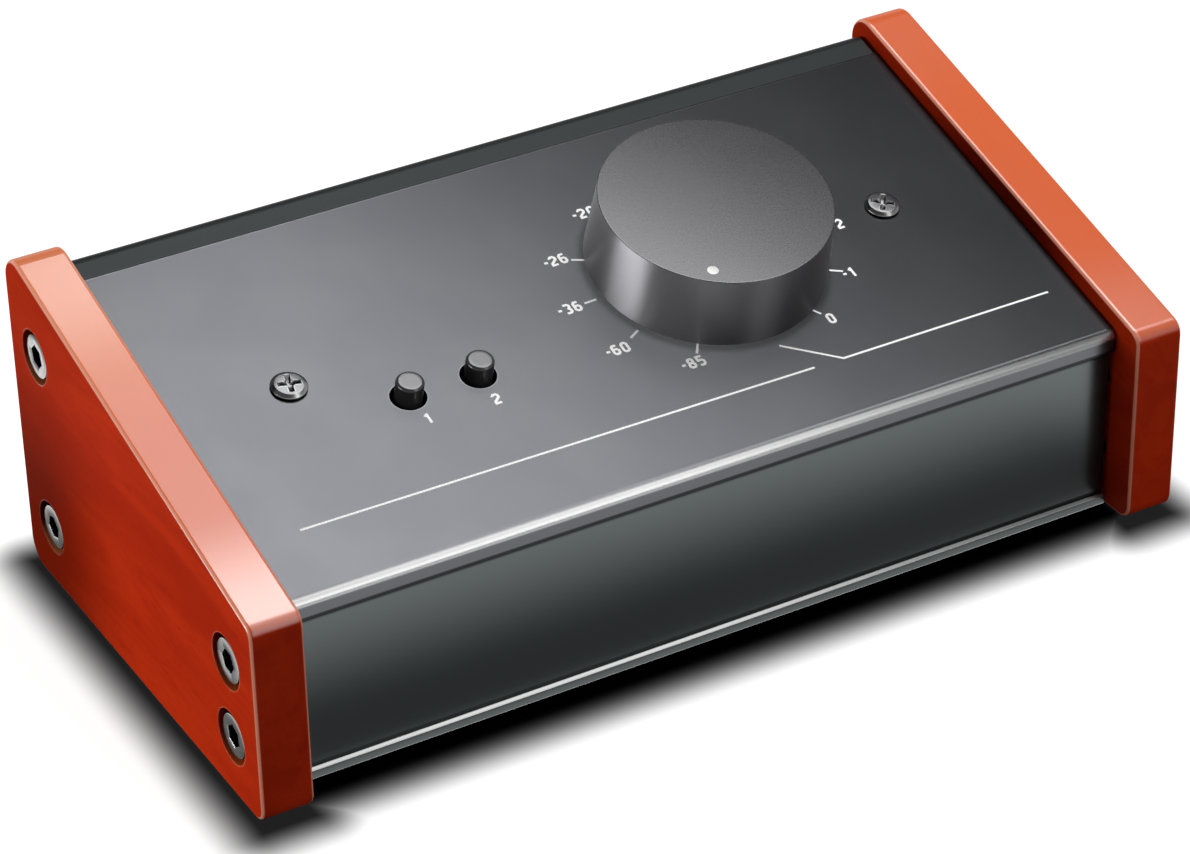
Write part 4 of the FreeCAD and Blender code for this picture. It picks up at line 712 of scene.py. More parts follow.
def make_finishes(wanted):
    """Every finish of the controller, by the name of its material slot."""
    made = [
        lacquered_wood(wanted.wood, wanted.wood_lit_top),
        grained("cover_paint", wanted.cover, 0.21, grain=3600.0, contrast=0.36, relief=0.05,
                wear=0.4, worn=3.0, depth=0.08, dust=0.02, handling=0.03, fold_highlight=9.0,
                foot=SHAFT, hem=FLANGE_EDGE, Metallic=0.92),
        grained("channel_black", wanted.channel, 0.18, lines=(6.0, 2600.0, 2600.0), relief=0.02,
                wear=0.25, worn=3.0, depth=0.04, breaks=30.0, handling=0.05, fold_highlight=7.0,
                channel=True, Metallic=0.9),
        grained("knob_grey", wanted.knob, 0.245, grain=3600.0, relief=0.012, wear=0.0, depth=0.05,
                dust=0.015, handling=0.05, Metallic=0.95),
        # The knob's turned side; its flanks carry a painted highlight.
        grained("knob_side_grey", [1.2 * value for value in wanted.knob], 0.43, relief=0.03,
                wear=0.0, depth=0.08, handling=0.05, along=NORMAL, Metallic=0.95,
                Anisotropic=0.97),
        grained("button_black", (0.075, 0.075, 0.079), 0.20, grain=4200.0, contrast=0.3,
                relief=0.03, wear=0.35, worn=1.8, Metallic=0.60),
        grained("screw_steel", (0.105, 0.104, 0.102), 0.24, grain=5200.0, contrast=0.4,
                wear=0.8, worn=3.0, handling=0.2, hollow_shade=0.9, reach=0.0025, Metallic=1.0),
        grained("panel_screw_steel", (0.105, 0.105, 0.109), 0.25, grain=5200.0, contrast=0.3,
                relief=0.04, wear=0.6, worn=3.0, handling=0.06, fold_highlight=4.0, hollow_shade=1.0, reach=0.0005,
                Metallic=1.0),
        grained("black_screw", (0.05, 0.05, 0.052), 0.33, grain=4800.0, contrast=0.4, relief=0.15,
                wear=0.7, worn=5.0, handling=0.2, Metallic=0.9),
        grained("brass", (0.72, 0.53, 0.24), 0.28, lines=(2600.0, 2600.0, 60.0), relief=0.15,
                worn=1.2, Metallic=1.0),
        grained("nickel", (0.34, 0.335, 0.32), 0.26, grain=4600.0, contrast=0.3, relief=0.08,
                wear=0.4, worn=1.25, handling=0.18, Metallic=1.0),
        grained("steel_shaft", (0.50, 0.50, 0.50), 0.26, lines=(1200.0, 2600.0, 2600.0),
                relief=0.2, worn=1.2, Metallic=1.0),
        circuit_board("board_green", (0.02, 0.12, 0.05)),
        grained("black_plastic", (0.030, 0.030, 0.031), 0.42, grain=3800.0, contrast=0.5,
                relief=0.25, wear=0.35, worn=2.5, dust=0.03),
        grained("phenolic", (0.26, 0.14, 0.06), 0.5, lines=(40.0, 1500.0, 2600.0), relief=0.2,
                worn=1.3),
        ribbon_strip("ribbon_grey", (0.40, 0.40, 0.40)),
        banded_resistor("resistor_blue", (0.10, 0.26, 0.40)),
        grained("dot_white", (0.86, 0.86, 0.84), 0.28, grain=4000.0, contrast=0.15, relief=0.05,
                wear=0.0, handling=0.1, Coat_Weight=0.3, Coat_Roughness=0.12),
        grained("foot_rubber", (0.022, 0.022, 0.023), 0.66, grain=2600.0, contrast=0.8, relief=0.4,
                wear=0.2, worn=2.2),
        grained("contact_gold", (0.85, 0.62, 0.26), 0.2, grain=5000.0, contrast=0.3, relief=0.06,
                worn=1.1, Metallic=1.0),
        # The ink glows a little: painted light that keeps it bright in shade.
        grained("screen_print", wanted.printing, 0.55, grain=6000.0, contrast=0.35, wear=0.0,
                handling=0.1, Emission_Strength=0.26),
    ]
    return {finish.name: finish for finish in made}


# ---------------------------------------------------------------- screws

def cross_mouth(angles, arm, half_width, inner):
    """Edge of a cross recess as a radius for each angle: the farther of two crossed bars, each the
    nearer of its end and its side; the inner corners are eased by a circle."""
    cosine = np.abs(np.cos(angles)) + 1e-9
    sine = np.abs(np.sin(angles)) + 1e-9
    along = np.minimum(arm / cosine, half_width / sine)
    beside = np.minimum(arm / sine, half_width / cosine)
    return np.maximum(np.maximum(along, beside), inner)


def cross_angles(arm, half_width):
    """Angles for a cross recess, with all its corners among them."""
    corner = np.arctan2(half_width, arm)
    quarter = np.concatenate([
        np.linspace(-corner, corner, 4), np.linspace(corner, np.pi / 4, 5),
        np.linspace(np.pi / 4, np.pi / 2 - corner, 5)])
    turns = (np.unique(quarter)[None] + np.arange(4)[:, None] * np.pi / 2).ravel()
    return np.unique(np.round(np.mod(turns, 2 * np.pi), 9))


def pan_screw(head_radius, head_height, shank_radius, shank_length):
    """Pan head screw with a cross recess, head upwards, seat at height zero. Rings of one height
    each: shank, seat, a side rounded into a dome, then the recess mouth drawn in towards its
    point."""
    arm, half_width = head_radius * 0.60, head_radius * 0.145
    angles = cross_angles(arm, half_width)
    mouth = cross_mouth(angles, arm, half_width, half_width * 1.9)
    side = rounded([(shank_radius, 0), (head_radius - 0.15 * MM, 0),
                    (head_radius, head_height * 0.42), (head_radius * 0.80, head_height * 0.93),
                    (head_radius * 0.70, head_height * 0.97)],
                   (0.05 * MM, 0.35 * MM, head_height * 0.3), 7)
    floor = head_height * 0.25
    rings = [(0.0, -shank_length), (shank_radius * 0.7, -shank_length),
             (shank_radius, -shank_length + shank_radius * 0.4)]
    rings += [tuple(point) for point in side]
    rings += [(mouth * 1.05, head_height), (mouth * 0.97, head_height - 0.07 * MM),
              (mouth * 0.72, head_height * 0.55), (mouth * 0.45, floor), (0.0, floor * 0.8)]
    return lathe(rings, angles)


def hex_mouth(angles, across_flats):
    """Edge of a hexagon as a radius for each angle: half the flats over the cosine of the angle
    from the nearest flat's middle."""
    folded = np.mod(angles + np.pi / 6, np.pi / 3) - np.pi / 6
    return across_flats / 2 / np.cos(folded)


def cap_screw(head_radius, head_height, shank_radius, shank_length, socket, depth, teeth=0):
    """Cap screw with a hexagon socket, head upwards, head's face at height zero. The side's radius
    rises and falls with the knurl's teeth."""
    angles = full_turn(144)
    mouth = hex_mouth(angles, socket)
    knurl = head_radius - 0.06 * MM * (1 + np.cos(teeth * angles)) if teeth else head_radius
    chamfer = head_radius * 0.09
    rings = [(0.0, -head_height - shank_length),
             (shank_radius * 0.8, -head_height - shank_length),
             (shank_radius, -head_height - shank_length + shank_radius * 0.3),
             (shank_radius, -head_height), (knurl - 0.2 * MM, -head_height),
             (knurl, -head_height + 0.2 * MM), (knurl, -head_height * 0.17),
             (head_radius - 0.02 * MM, -head_height * 0.14),
             (head_radius - 0.02 * MM, -chamfer), (head_radius - chamfer * 0.35, -chamfer * 0.3),
             (head_radius - chamfer, 0.0), (mouth * 1.10, 0.0), (mouth, -0.12 * MM),
             (mouth * 0.995, -depth), (mouth * 0.5, -depth - 0.2 * MM), (0.0, -depth - 0.5 * MM)]
    return lathe(rings, angles)


# ---------------------------------------------------------------- printing

def stroke(path, width, low=-0.02 * MM, high=0.03 * MM):
    """Ink line as a thin slab: a rectangle carried along a path, its corners mitred by the sum of
    the two sides' normals over one plus their product. A path that ends where it starts closes."""
    path = np.asarray(path, float)
    closed = np.allclose(path[0], path[-1])
    path = path[:-1] if closed else path
    if closed:
        ahead = np.roll(path, -1, 0) - path
        behind = np.roll(ahead, 1, 0)
    else:
        steps = np.diff(path, axis=0)
        ahead = np.vstack([steps, steps[-1:]])
        behind = np.vstack([steps[:1], steps])
    ahead /= np.linalg.norm(ahead, axis=1)[:, None]
    behind /= np.linalg.norm(behind, axis=1)[:, None]
    left_ahead = np.stack([-ahead[:, 1], ahead[:, 0]], -1)
    left_behind = np.stack([-behind[:, 1], behind[:, 0]], -1)
    product = (left_ahead * left_behind).sum(1)[:, None]
    mitre = (left_ahead + left_behind) / (1 + product) * width / 2
    section = [(1, low), (1, high), (-1, high), (-1, low)]
    rows = np.stack([np.column_stack([path + side * mitre, np.full(len(path), height)])
                     for side, height in section], 1)
    if closed:
        return grid(np.vstack([rows, rows[:1]]), around=True)
    points, faces = grid(rows, around=True)
    last = len(points) - 4
    caps = np.array([[3, 2, 1, 0], [last, last + 1, last + 2, last + 3]])
    return points, np.vstack([faces, caps])


# Strokes of each digit on a cell one wide and one high.
RING = ((0.28, 0), (0.72, 0), (1, 0.16), (1, 0.84), (0.72, 1), (0.28, 1), (0, 0.84), (0, 0.16),
        (0.28, 0))
DIGITS = {
    "0": (RING,),
    "1": (((0.60, 1.06), (0.60, -0.06)), ((0.12, 0.76), (0.60, 0.97))),
    "2": (((0, 0.80), (0, 0.86), (0.26, 1), (0.74, 1), (1, 0.84), (1, 0.62), (0, 0.2), (0, 0),
           (1, 0)),),
    "3": (((0, 1), (0.74, 1), (1, 0.86), (1, 0.64), (0.72, 0.5), (1, 0.36), (1, 0.14), (0.74, 0),
           (0, 0)),),
    "4": (((0.8, 0), (0.8, 1), (0, 0.34), (1.08, 0.34)),),
    "5": (((0.98, 1), (0, 1), (0, 0.57), (0.74, 0.57), (1, 0.42), (1, 0.14), (0.74, 0), (0, 0)),),
    "6": (((0.95, 1), (0.28, 1), (0, 0.84), (0, 0.16), (0.28, 0), (0.72, 0), (1, 0.16), (1, 0.42),
           (0.74, 0.57), (0.0, 0.57)),),
    "7": (((0, 1), (1, 1), (0.35, 0)),),
    "8": (((0.28, 0), (0.72, 0), (1, 0.14), (1, 0.38), (0.72, 0.52), (0.28, 0.52), (0, 0.38),
           (0, 0.14), (0.28, 0)),
          ((0.30, 0.52), (0.70, 0.52), (0.93, 0.64), (0.93, 0.88), (0.70, 1), (0.30, 1),
           (0.07, 0.88), (0.07, 0.64), (0.30, 0.52))),
}


def number_strokes(text, sizes):
    """Ink strokes of a number centred on its digits; a minus hangs to the left of them."""
    cell = np.array([sizes.digit_width - sizes.stroke, sizes.digit_height - sizes.stroke])
    digits = text.lstrip("-")
    middle = (len(digits) - 1) / 2
    made = []
    for place, digit in enumerate(digits):
        shift = np.array([(place - middle) * sizes.advance, 0.0])
        made += [stroke((np.array(path) - 0.5) * cell + shift, sizes.stroke)
                 for path in DIGITS[digit]]
    if text.startswith("-"):
        centre = -middle * sizes.advance - 1.55 * MM
        made.append(stroke([(centre - 0.35 * MM, 0), (centre + 0.35 * MM, 0)], sizes.stroke))
    return made


# Dial: number, degrees clockwise from straight down, and the millimetres from the volume shaft to
# the number and to its tick's outer end.
DIAL = (("-85", 33.7, 26.5, 24.3), ("-60", 61.8, 29.2, 25.7), ("-36", 87.5, 28.7, 26.1),
        ("-26", 113.3, 27.2, 24.8), ("-20", 145.2, 24.3, 22.6), ("-15", 167.2, 25.2, 23.4),
        ("-10", 193.9, 27.0, 24.4), ("-7", 220.6, 27.2, 24.4), ("-4", 247.3, 27.6, 24.8),
        ("-2", 271.5, 28.9, 25.9), ("-1", 297.9, 27.4, 25.7), ("0", 327.2, 26.0, 24.0))
# Rule lines: corners in millimetres across and up from the volume shaft.
RULES = (((-98.4, -31.0), (4.6, -31.6)), ((1.5, -24.3), (10.8, -31.6), (55.7, -31.5)))
# A plain number in front of each button, across and up from the volume shaft.
BUTTON_NUMBERS = (("1", -65.8, -15.9), ("2", -52.4, -16.3))


# ---------------------------------------------------------------- knob

def away_from_dot(knob):
    """Angle on the cover from the shaft to the side across from the white dot, the direction
    there, and the direction beside it."""
    away = np.pi / 2 - knob.dot_angle
    return (away, np.array([np.cos(away), np.sin(away), 0.0]),
            np.array([-np.sin(away), np.cos(away), 0.0]))


def knob_section(knob, top):
    """Half section of the knob from the shaft's end over its bore, hollow and wall to the middle
    of the top, and the number of points on the top and its rim. The top is a shallow crown: height
    less the crown's rise times the radius squared."""
    roof, bore, hollow, shaft_end = 7.5 * MM, 3.1 * MM, 12.0 * MM, 13.7 * MM
    level, steps = knob.height - knob.crown, 6
    section = rounded([(0, shaft_end), (bore, shaft_end), (bore, roof), (hollow, roof),
                       (hollow, knob.gap), (knob.radius, knob.gap), (top, level), (0, level)],
                      (0.05 * MM, 0.2 * MM, 0.6 * MM, 0.3 * MM, knob.rim, knob.rim), steps)
    radius = section[-2, 0] * np.append([0.997, 0.990], np.linspace(1, 0, 13)[1:])
    crown = np.column_stack([radius, knob.height - knob.crown * (radius / top) ** 2])
    return np.vstack([section[:-1], crown]), len(crown) + steps


def knob_shell(knob, top):
    """The knob's two meshes. The first is its section turned round the shaft, with a square window
    left open in the wall. The second is the set screw's hole: rings that go from the window's edge
    over the wall to a circle, each a share of the way, and then inwards to a point."""
    hole, half, steps = 1.56 * MM, 2.4 * MM, 8
    section, above = knob_section(knob, top)
    lower, upper = section[:-above], section[-above:]
    window = np.linspace(SET_SCREW_RISE - half, SET_SCREW_RISE + half, steps + 1)
    lean = (upper[0, 0] - lower[-1, 0]) / (upper[0, 1] - lower[-1, 1])
    wall_radius = lower[-1, 0] + (window - lower[-1, 1]) * lean
    outline = np.vstack([lower, np.column_stack([wall_radius, window]), upper])

    # A column of the shell runs through the middle of the window, which starts the columns.
    away, radial, tangent = away_from_dot(knob)
    angles = full_turn(knob.segments)
    angles = angles + (away - np.round(away / angles[1]) * angles[1])
    middle = int(np.argmin(np.abs(np.mod(angles - away + np.pi, 2 * np.pi) - np.pi)))
    angles = np.roll(angles, steps // 2 - middle)
    surface = turned(outline, angles)
    points, faces = grid(surface, around=True)
    row, column = np.divmod(faces[:, 0], knob.segments)
    first = len(lower)
    window_faces = (row >= first) & (row < first + steps) & (column < steps)

    wall = surface[first:first + steps + 1, :steps + 1]
    ring = np.vstack([wall[0, :-1], wall[:-1, -1], wall[-1, :0:-1], wall[:0:-1, 0]])
    edge = np.stack([ring @ tangent, ring[:, 2]], -1)
    bearing = np.arctan2(edge[:, 1] - SET_SCREW_RISE, edge[:, 0])
    circle = np.stack([hole * np.cos(bearing), SET_SCREW_RISE + hole * np.sin(bearing)], -1)
    share = np.linspace(0, 1, 4)[:, None, None]
    flat = edge * (1 - share) + circle * share
    reach = lower[-1, 0] + (flat[..., 1] - lower[-1, 1]) * lean
    depth = np.sqrt(reach ** 2 - flat[..., 0] ** 2)
    patch = (depth[..., None] * radial + flat[..., :1] * tangent
             + flat[..., 1:] * np.array([0.0, 0.0, 1.0]))
    patch[0] = ring
    inner = patch[-1] + np.array([-0.12, -14.0, -14.0])[:, None, None] * MM * radial
    inner[2] = inner[1].mean(0)
    return (points, faces[~window_faces]), grid(np.concatenate([patch, inner]), around=True)


def dot_plug(radius, level):
    """White dot as a plug, whose face swells by less the fourth power of the radius."""
    base = level - 1.0 * MM
    rings = [(0.0, base), (radius, base)]
    rings += [(radius * share, level + 0.05 * MM * (1.4 - share ** 4))
              for share in np.linspace(1, 0, 7)]
    return lathe(rings, full_turn(64))


# ---------------------------------------------------------------- studio

def studio_paper():
    """Matt paper that shows the eye an even white with a shade that fades out round the
    controller's footprint, and shows mirrors a white that starts farther out."""
    paper = bpy.data.materials.new("studio_paper")
    paper.use_nodes = True
    tree = paper.node_tree
    tree.nodes.clear()
    path = node(tree, "LightPath", "Light path").outputs
    seen = path["Is Camera Ray"]
    mirrored = math(tree, "MAXIMUM", "Mirrored or seen through", path["Is Glossy Ray"],
                    path["Is Transmission Ray"])
    place = vector(tree, "ABSOLUTE", "Either side of the middle", object_place(tree))
    cheek = vector(tree, "ABSOLUTE", "Either side of it",
                   vector(tree, "SUBTRACT", "From the cheek's middle", place, CHEEK_MIDDLE))
    cheek = beyond(tree, "Beyond the cheeks", cheek, CHEEK_HALF)
    body = beyond(tree, "Beyond the body", place, BODY_HALF)
    nearest = math(tree, "MINIMUM", "Beyond the controller",
                   math(tree, "ADD", "Thinner at the cheeks", cheek, 0.0015),
                   math(tree, "SUBTRACT", "Deeper in front", body, 0.0010))
    contact = math(tree, "POWER", "Contact shadow",
                   remap(tree, "Shadow fading out", nearest, -0.002, 0.0125), 2.2)
    white = math(tree, "MAXIMUM", "White in mirrors",
                 remap(tree, "White farther out", body, 0.017, 0.051, 0.40, 2.95),
                 remap(tree, "White before the ledge", body, 0.0054, 0.0047, 0.0, 2.2))
    mirror = times(tree, "Tone in mirrors", white,
                   remap(tree, "Near mirrors only", path["Ray Length"], 0.10, 0.16, 1.0, 0.2))
    tone = node(tree, "Mix", "Paper to the eye",
                {0: seen, 2: 0.22, 3: times(tree, "Pale paper", contact, 0.25)},
                data_type="FLOAT").outputs[0]
    tone = math(tree, "SUBTRACT", "No light on the mirrored paper", tone, mirrored, clamp=True)
    glow = times(tree, "Even white", seen, times(tree, "Glow of the paper", contact, 0.93))
    glow = math(tree, "MULTIPLY_ADD", "White to the mirrors too", mirrored, mirror, glow)
    matt = node(tree, "BsdfDiffuse", "Paper", {"Color": tone})
    lit = node(tree, "Emission", "White", {"Strength": glow})
    both = node(tree, "AddShader", "Lit paper",
                {0: matt.outputs["BSDF"], 1: lit.outputs["Emission"]})
    node(tree, "OutputMaterial", "Output", {"Surface": both.outputs["Shader"]})
    return paper


def studio_floor(scene):
    """Round paper floor whose edge curves up into a wall."""
    outline = rounded([(0.0, 0.0), (2.4, 0.0), (2.4, 1.1)], (0.6,), 24)
    points, faces = lathe(outline, full_turn(96))
    mesh = bpy.data.meshes.new("studio_floor")
    mesh.from_pydata(points.tolist(), [], faces[:, ::-1].tolist())
    mesh.shade_smooth()
    mesh.materials.append(studio_paper())
    floor = bpy.data.objects.new("studio_floor", mesh)
    scene.collection.objects.link(floor)


def softbox(scene, name, place, aim, size, power, turn=0.0):
    light = bpy.data.lights.new(name, "AREA")
    light.shape = "RECTANGLE"
    light.size, light.size_y = size
    light.energy = power
    made = bpy.data.objects.new(name, light)
    made.location = place
    towards = (Vector(aim) - Vector(place)).to_track_quat("-Z", "Y")
    made.rotation_euler = (towards @ Matrix.Rotation(turn, 3, "Z").to_quaternion()).to_euler()
    scene.collection.objects.link(made)


def add_camera(scene, target, distance, degrees, focal_length):
    """Camera at a distance from its target, by the angle round it, the angle above it and the
    roll."""
    azimuth, elevation, roll = np.radians(degrees)
    back = Vector((np.sin(azimuth) * np.cos(elevation), -np.cos(azimuth) * np.cos(elevation),
                   np.sin(elevation)))
    right = (-back).cross(Vector((0, 0, 1))).normalized()
    up = right.cross(-back)
    turned_right = right * np.cos(roll) + up * np.sin(roll)
    turned_up = up * np.cos(roll) - right * np.sin(roll)
    lens = bpy.data.cameras.new("camera")
    lens.lens = focal_length
    lens.sensor_width = 36.0
    lens.clip_start = 0.01
    camera = bpy.data.objects.new("camera", lens)
    turn = Matrix((turned_right, turned_up, back)).transposed().to_4x4()
    camera.matrix_world = Matrix.Translation(Vector(target) + back * distance) @ turn
    scene.collection.objects.link(camera)
    scene.camera = camera


# ---------------------------------------------------------------- operators

class CONTROLLER_OT_finishes(bpy.types.Operator):
    """Make every finish and give it to the CAD nodes by the name of their material slot"""
    bl_idname = "controller.finishes"
    bl_label = "Finishes"

    def execute(self, context):
        for make in (make_speckle, make_marks, make_wear, make_dust, make_lines, make_painted_hollow_shade):
            made = make()
            EFFECTS[made.name] = made
        slots = {name: part.material_slots[0].material.name
                 for name, part in frame["nodes"].items()}
        for material in list(bpy.data.materials):
            material.name = "plain_" + material.name
        FINISHES.update(make_finishes(context.scene.controller.finish))
        for name, part in frame["nodes"].items():
            part.material_slots[0].material = FINISHES[slots[name]]
        return {"FINISHED"}


class CONTROLLER_OT_volume_knob(bpy.types.Operator):
    """Turn the volume knob with its bore, hollow and set screw hole, and its white dot"""
    bl_idname = "controller.volume_knob"
    bl_label = "Volume knob"

    def execute(self, context):
        knob = context.scene.controller.knob
        top = knob.radius - knob.taper
        shell = piece("volume_knob_turned", [on_cover(mesh) for mesh in knob_shell(knob, top)],
                      "volume", "knob_grey", "volume_knob", sharp=40, wall="knob_side_grey")
        reach = top - knob.dot_inset
        across, up = -reach * np.sin(knob.dot_angle) / MM, -reach * np.cos(knob.dot_angle) / MM
        level = knob.height - knob.crown * (1 - knob.dot_inset / top) ** 2
        dot = piece("white_dot", [on_cover(dot_plug(knob.dot_radius, level), across, up)],
                    "volume", "dot_white", "knob_pointer")
        leave_mirrors(shell, dot, *(frame["nodes"][name] for name in
                                    ("pot_shaft", "pot_bushing", "pot_washer", "pot_nut")))
        return {"FINISHED"}


class CONTROLLER_OT_set_screw(bpy.types.Operator):
    """Make the knob's set screw with its hexagon socket"""
    bl_idname = "controller.set_screw"
    bl_label = "Set screw"

    def execute(self, context):
        _, radial, tangent = away_from_dot(context.scene.controller.knob)
        upwards = np.array([0.0, 0.0, 1.0])
        screw = placed(cap_screw(head_radius=1.5 * MM, head_height=1.0 * MM,
                                 shank_radius=1.3 * MM, shank_length=7.0 * MM, socket=1.5 * MM,
                                 depth=1.2 * MM),
                       radial * 9.5 * MM + upwards * SET_SCREW_RISE, tangent, upwards, radial)
        leave_mirrors(piece("set_screw", [on_cover(screw)], "volume", "black_screw",
                            "knob_set_screw"))
        return {"FINISHED"}


class CONTROLLER_OT_button_caps(bpy.types.Operator):
    """Turn the two push button caps with their collars"""
    bl_idname = "controller.button_caps"
    bl_label = "Button caps"

    def execute(self, context):
        cap = context.scene.controller.button
        bore, floor = 1.55 * MM, -4.0 * MM
        collar, collar_low, collar_high = 4.1 * MM, -8.0 * MM, -6.8 * MM
        outline = rounded([(0, floor), (bore, floor), (bore, collar_low), (collar, collar_low),
                           (collar, collar_high), (cap.radius, collar_high),
                           (cap.radius, cap.rise), (0, cap.rise)],
                          (0.05 * MM, 0.05 * MM, 0.15 * MM, 0.15 * MM, 0.1 * MM, cap.rim), 7)
        face = np.linspace(0, 1, 5)[1:-1, None] * (outline[-1] - outline[-2]) + outline[-2]
        mesh = lathe(np.vstack([outline[:-1], face, outline[-1:]]), full_turn(96))
        for name in ("mono", "mute"):
            place = np.array(JOINTS[f"{name}_press"]["pos_m"]) - SHAFT
            across, up = place @ ACROSS / MM, place @ UP_SLOPE / MM
            leave_mirrors(piece(f"{name}_cap", [on_cover(mesh, across, up)], name,
                                "button_black", f"{name}_button"))
        return {"FINISHED"}


class CONTROLLER_OT_cover_screws(bpy.types.Operator):
    """Make the two cross recess screws in the cover"""
    bl_idname = "controller.cover_screws"
    bl_label = "Cover screws"

    def execute(self, context):
        screw = pan_screw(head_radius=3.45 * MM, head_height=1.15 * MM, shank_radius=1.5 * MM,
                          shank_length=7.0 * MM)
        piece("cover_screw_heads",
              [on_cover(spun(screw, turn), across, up) for across, up, turn in COVER_SCREWS],
              "base", "panel_screw_steel", "cover_screws")
        return {"FINISHED"}


class CONTROLLER_OT_cheek_screws(bpy.types.Operator):
    """Make the eight socket head screws in the cheeks"""
    bl_idname = "controller.cheek_screws"
    bl_label = "Cheek screws"

    def execute(self, context):
        screw = cap_screw(head_radius=4.25 * MM, head_height=5.7 * MM, shank_radius=2.5 * MM,
                          shank_length=16.0 * MM, socket=4.0 * MM, depth=2.8 * MM, teeth=36)
        parts = []
        for side in (-1, 1):
            for y, z, left, right in CHEEK_SCREWS:
                parts.append(placed(spun(screw, left if side < 0 else right),
                                    np.array([side * CHEEK_SCREW_FACE, y, z]) * MM,
                                    (0, side, 0), (0, 0, 1), (side, 0, 0)))
        piece("cheek_screw_set", parts, "base", "screw_steel", "cheek_screws")
        return {"FINISHED"}


class CONTROLLER_OT_connector_trim(bpy.types.Operator):
    """Make the sockets' eight screws, raised rings and latch tabs"""
    bl_idname = "controller.connector_trim"
    bl_label = "Connector trim"

    def execute(self, context):
        screw = pan_screw(head_radius=2.8 * MM, head_height=1.7 * MM, shank_radius=1.5 * MM,
                          shank_length=7.0 * MM)
        spots = [(x + beside, SOCKET_HEIGHT + above) for x in (*OUTPUT_SOCKETS, *INPUT_SOCKETS)
                 for beside, above in PLATE_SCREWS]
        piece("connector_screw_set",
              [on_rear(spun(screw, turn), x, z) for (x, z), turn in zip(spots, PLATE_SCREW_TURNS)],
              "base", "black_screw", "connector_screws")

        lip = rounded([(10.4, -0.2), (11.6, -0.2), (11.6, 0.5), (9.9, 0.5), (9.9, -0.2),
                       (10.4, -0.2)], (0.05, 0.2, 0.2, 0.05), 5) * MM
        ring = lathe(lip, full_turn(96))
        for name, places, slot in (("output_rings", OUTPUT_SOCKETS, "nickel"),
                                   ("input_rings", INPUT_SOCKETS, "black_plastic")):
            piece(name, [on_rear(ring, x, SOCKET_HEIGHT) for x in places], "base", slot)

        # Latch tabs: rings of a fourth-power oval, drawn in over a rounded edge.
        angles = full_turn(64)
        oval = (np.abs(np.cos(angles) / 3.6) ** 4 + np.abs(np.sin(angles) / 1.5) ** 4) ** -0.25
        tab = lathe([(oval * share * MM, height * MM) for share, height in
                     ((0.0, -0.2), (1.0, -0.2), (1.0, 0.9), (0.97, 1.1), (0.90, 1.2),
                      (0.6, 1.24), (0.0, 1.25))], angles)
        piece("input_latches",
              [on_rear(tab, x, SOCKET_HEIGHT + LATCH_RISE) for x in INPUT_SOCKETS], "base",
              "nickel")
        return {"FINISHED"}


class CONTROLLER_OT_printing(bpy.types.Operator):
    """Print the dial's ticks and numbers, the rule lines and a number at each button"""
    bl_idname = "controller.printing"
    bl_label = "Printing"

    def execute(self, context):
        sizes = context.scene.controller.printing
        parts = []
        for text, angle, distance, reach in DIAL:
            out = -np.array([np.sin(np.radians(angle)), np.cos(np.radians(angle))])
            tick = np.array([out * (reach * MM - sizes.tick), out * reach * MM])
            parts.append(on_cover(stroke(tick, sizes.line)))
            parts += [on_cover(line, *(out * distance)) for line in number_strokes(text, sizes)]
        for text, across, up in BUTTON_NUMBERS:
            parts += [on_cover(line, across, up) for line in number_strokes(text, sizes)]
        for corners in RULES:
            parts.append(on_cover(stroke(np.array(corners) * MM, sizes.line)))
        piece("cover_printing", parts, "base", "dot_white", finish="screen_print")
        return {"FINISHED"}


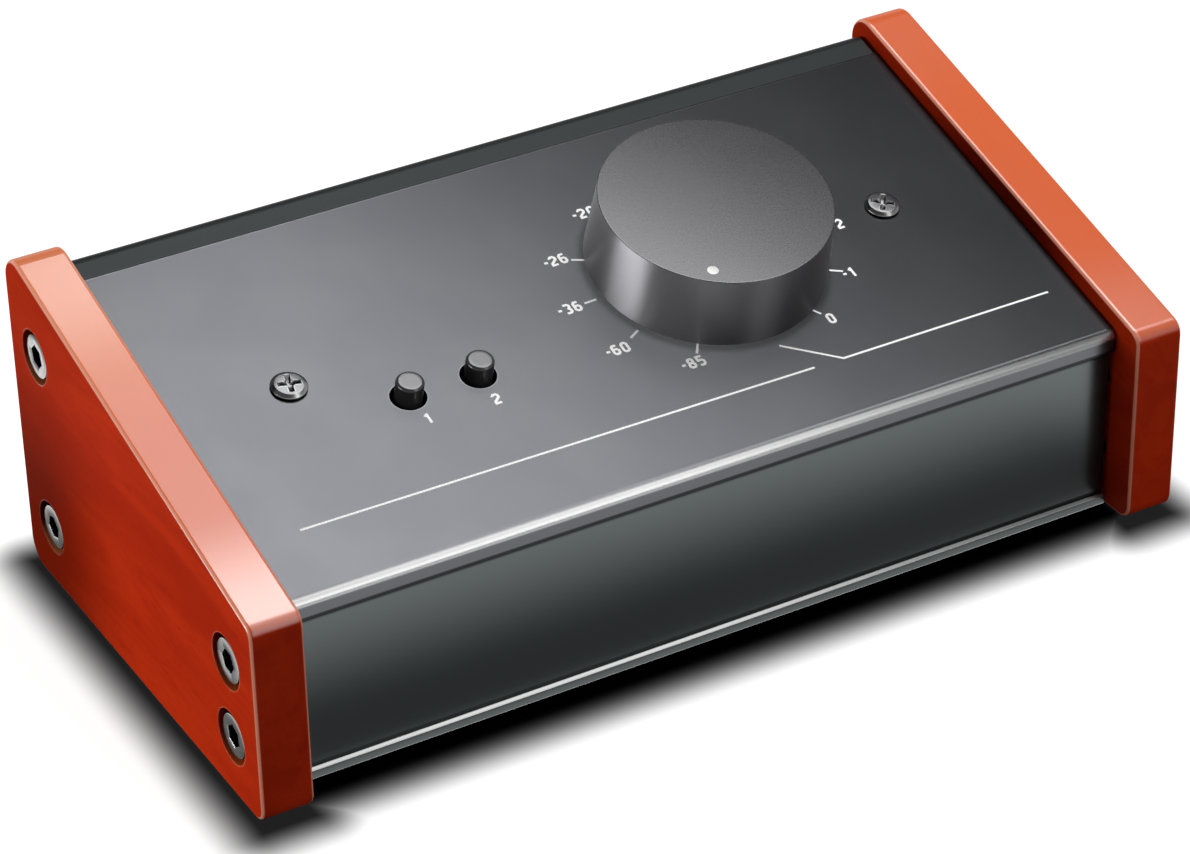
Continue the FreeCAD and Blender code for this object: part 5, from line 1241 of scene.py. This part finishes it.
class CONTROLLER_OT_stage(bpy.types.Operator):
    """Set up the pale floor, the soft lights and the camera"""
    bl_idname = "controller.stage"
    bl_label = "Stage"

    def execute(self, context):
        scene = context.scene
        settings = scene.controller.stage
        scene.view_settings.view_transform = "Standard"
        studio_floor(scene)
        world = bpy.data.worlds.new("studio_air")
        world.use_nodes = True
        air = world.node_tree.nodes["Background"]
        air.inputs["Color"].default_value = (1, 1, 1, 1)
        air.inputs["Strength"].default_value = settings.sky
        scene.world = world
        softbox(scene, "key_softbox", (0.235, 0.134, 0.75), (0.235, 0.134, 0.0), (0.546, 0.391),
                settings.key, turn=-0.943)
        softbox(scene, "side_softbox", (-0.62, 0.11, 0.09), (0.0, 0.0, 0.05), (0.40, 0.14),
                settings.side)
        softbox(scene, "front_softbox", (0.349, -0.690, 0.586), (0.349, -0.040, 0.038),
                (0.34, 1.40), settings.front)
        add_camera(scene, target=(0.0, 0.00295, 0.022758), distance=0.78183,
                   degrees=(-29.385, 32.123, -1.117), focal_length=127.746)
        return {"FINISHED"}


class CONTROLLER_PT_panel(bpy.types.Panel):
    """Lists the steps that build the controller, and its sizes and colours"""
    bl_label = "Monitor controller"
    bl_idname = "CONTROLLER_PT_panel"
    bl_space_type = "VIEW_3D"
    bl_region_type = "UI"
    bl_category = "Controller"

    def draw(self, context):
        for step in STEPS:
            self.layout.operator(step.bl_idname)
        settings = context.scene.controller
        for group in (settings.knob, settings.button, settings.printing, settings.finish,
                      settings.stage):
            box = self.layout.box()
            for name in group.__annotations__:
                box.prop(group, name)


STEPS = (
    CONTROLLER_OT_stage,
    CONTROLLER_OT_finishes,
    CONTROLLER_OT_volume_knob,
    CONTROLLER_OT_set_screw,
    CONTROLLER_OT_button_caps,
    CONTROLLER_OT_cover_screws,
    CONTROLLER_OT_cheek_screws,
    CONTROLLER_OT_connector_trim,
    CONTROLLER_OT_printing,
)
CLASSES = (KnobSettings, ButtonSettings, PrintSettings, FinishSettings, StageSettings,
           ControllerSettings, *STEPS, CONTROLLER_PT_panel)


def register():
    for item in CLASSES:
        bpy.utils.register_class(item)
    bpy.types.Scene.controller = PointerProperty(type=ControllerSettings)


def unregister():
    del bpy.types.Scene.controller
    for item in reversed(CLASSES):
        bpy.utils.unregister_class(item)


def main():
    register()
    for step in STEPS:
        group, name = step.bl_idname.split(".")
        getattr(getattr(bpy.ops, group), name)()


if __name__ == "__main__":
    main()
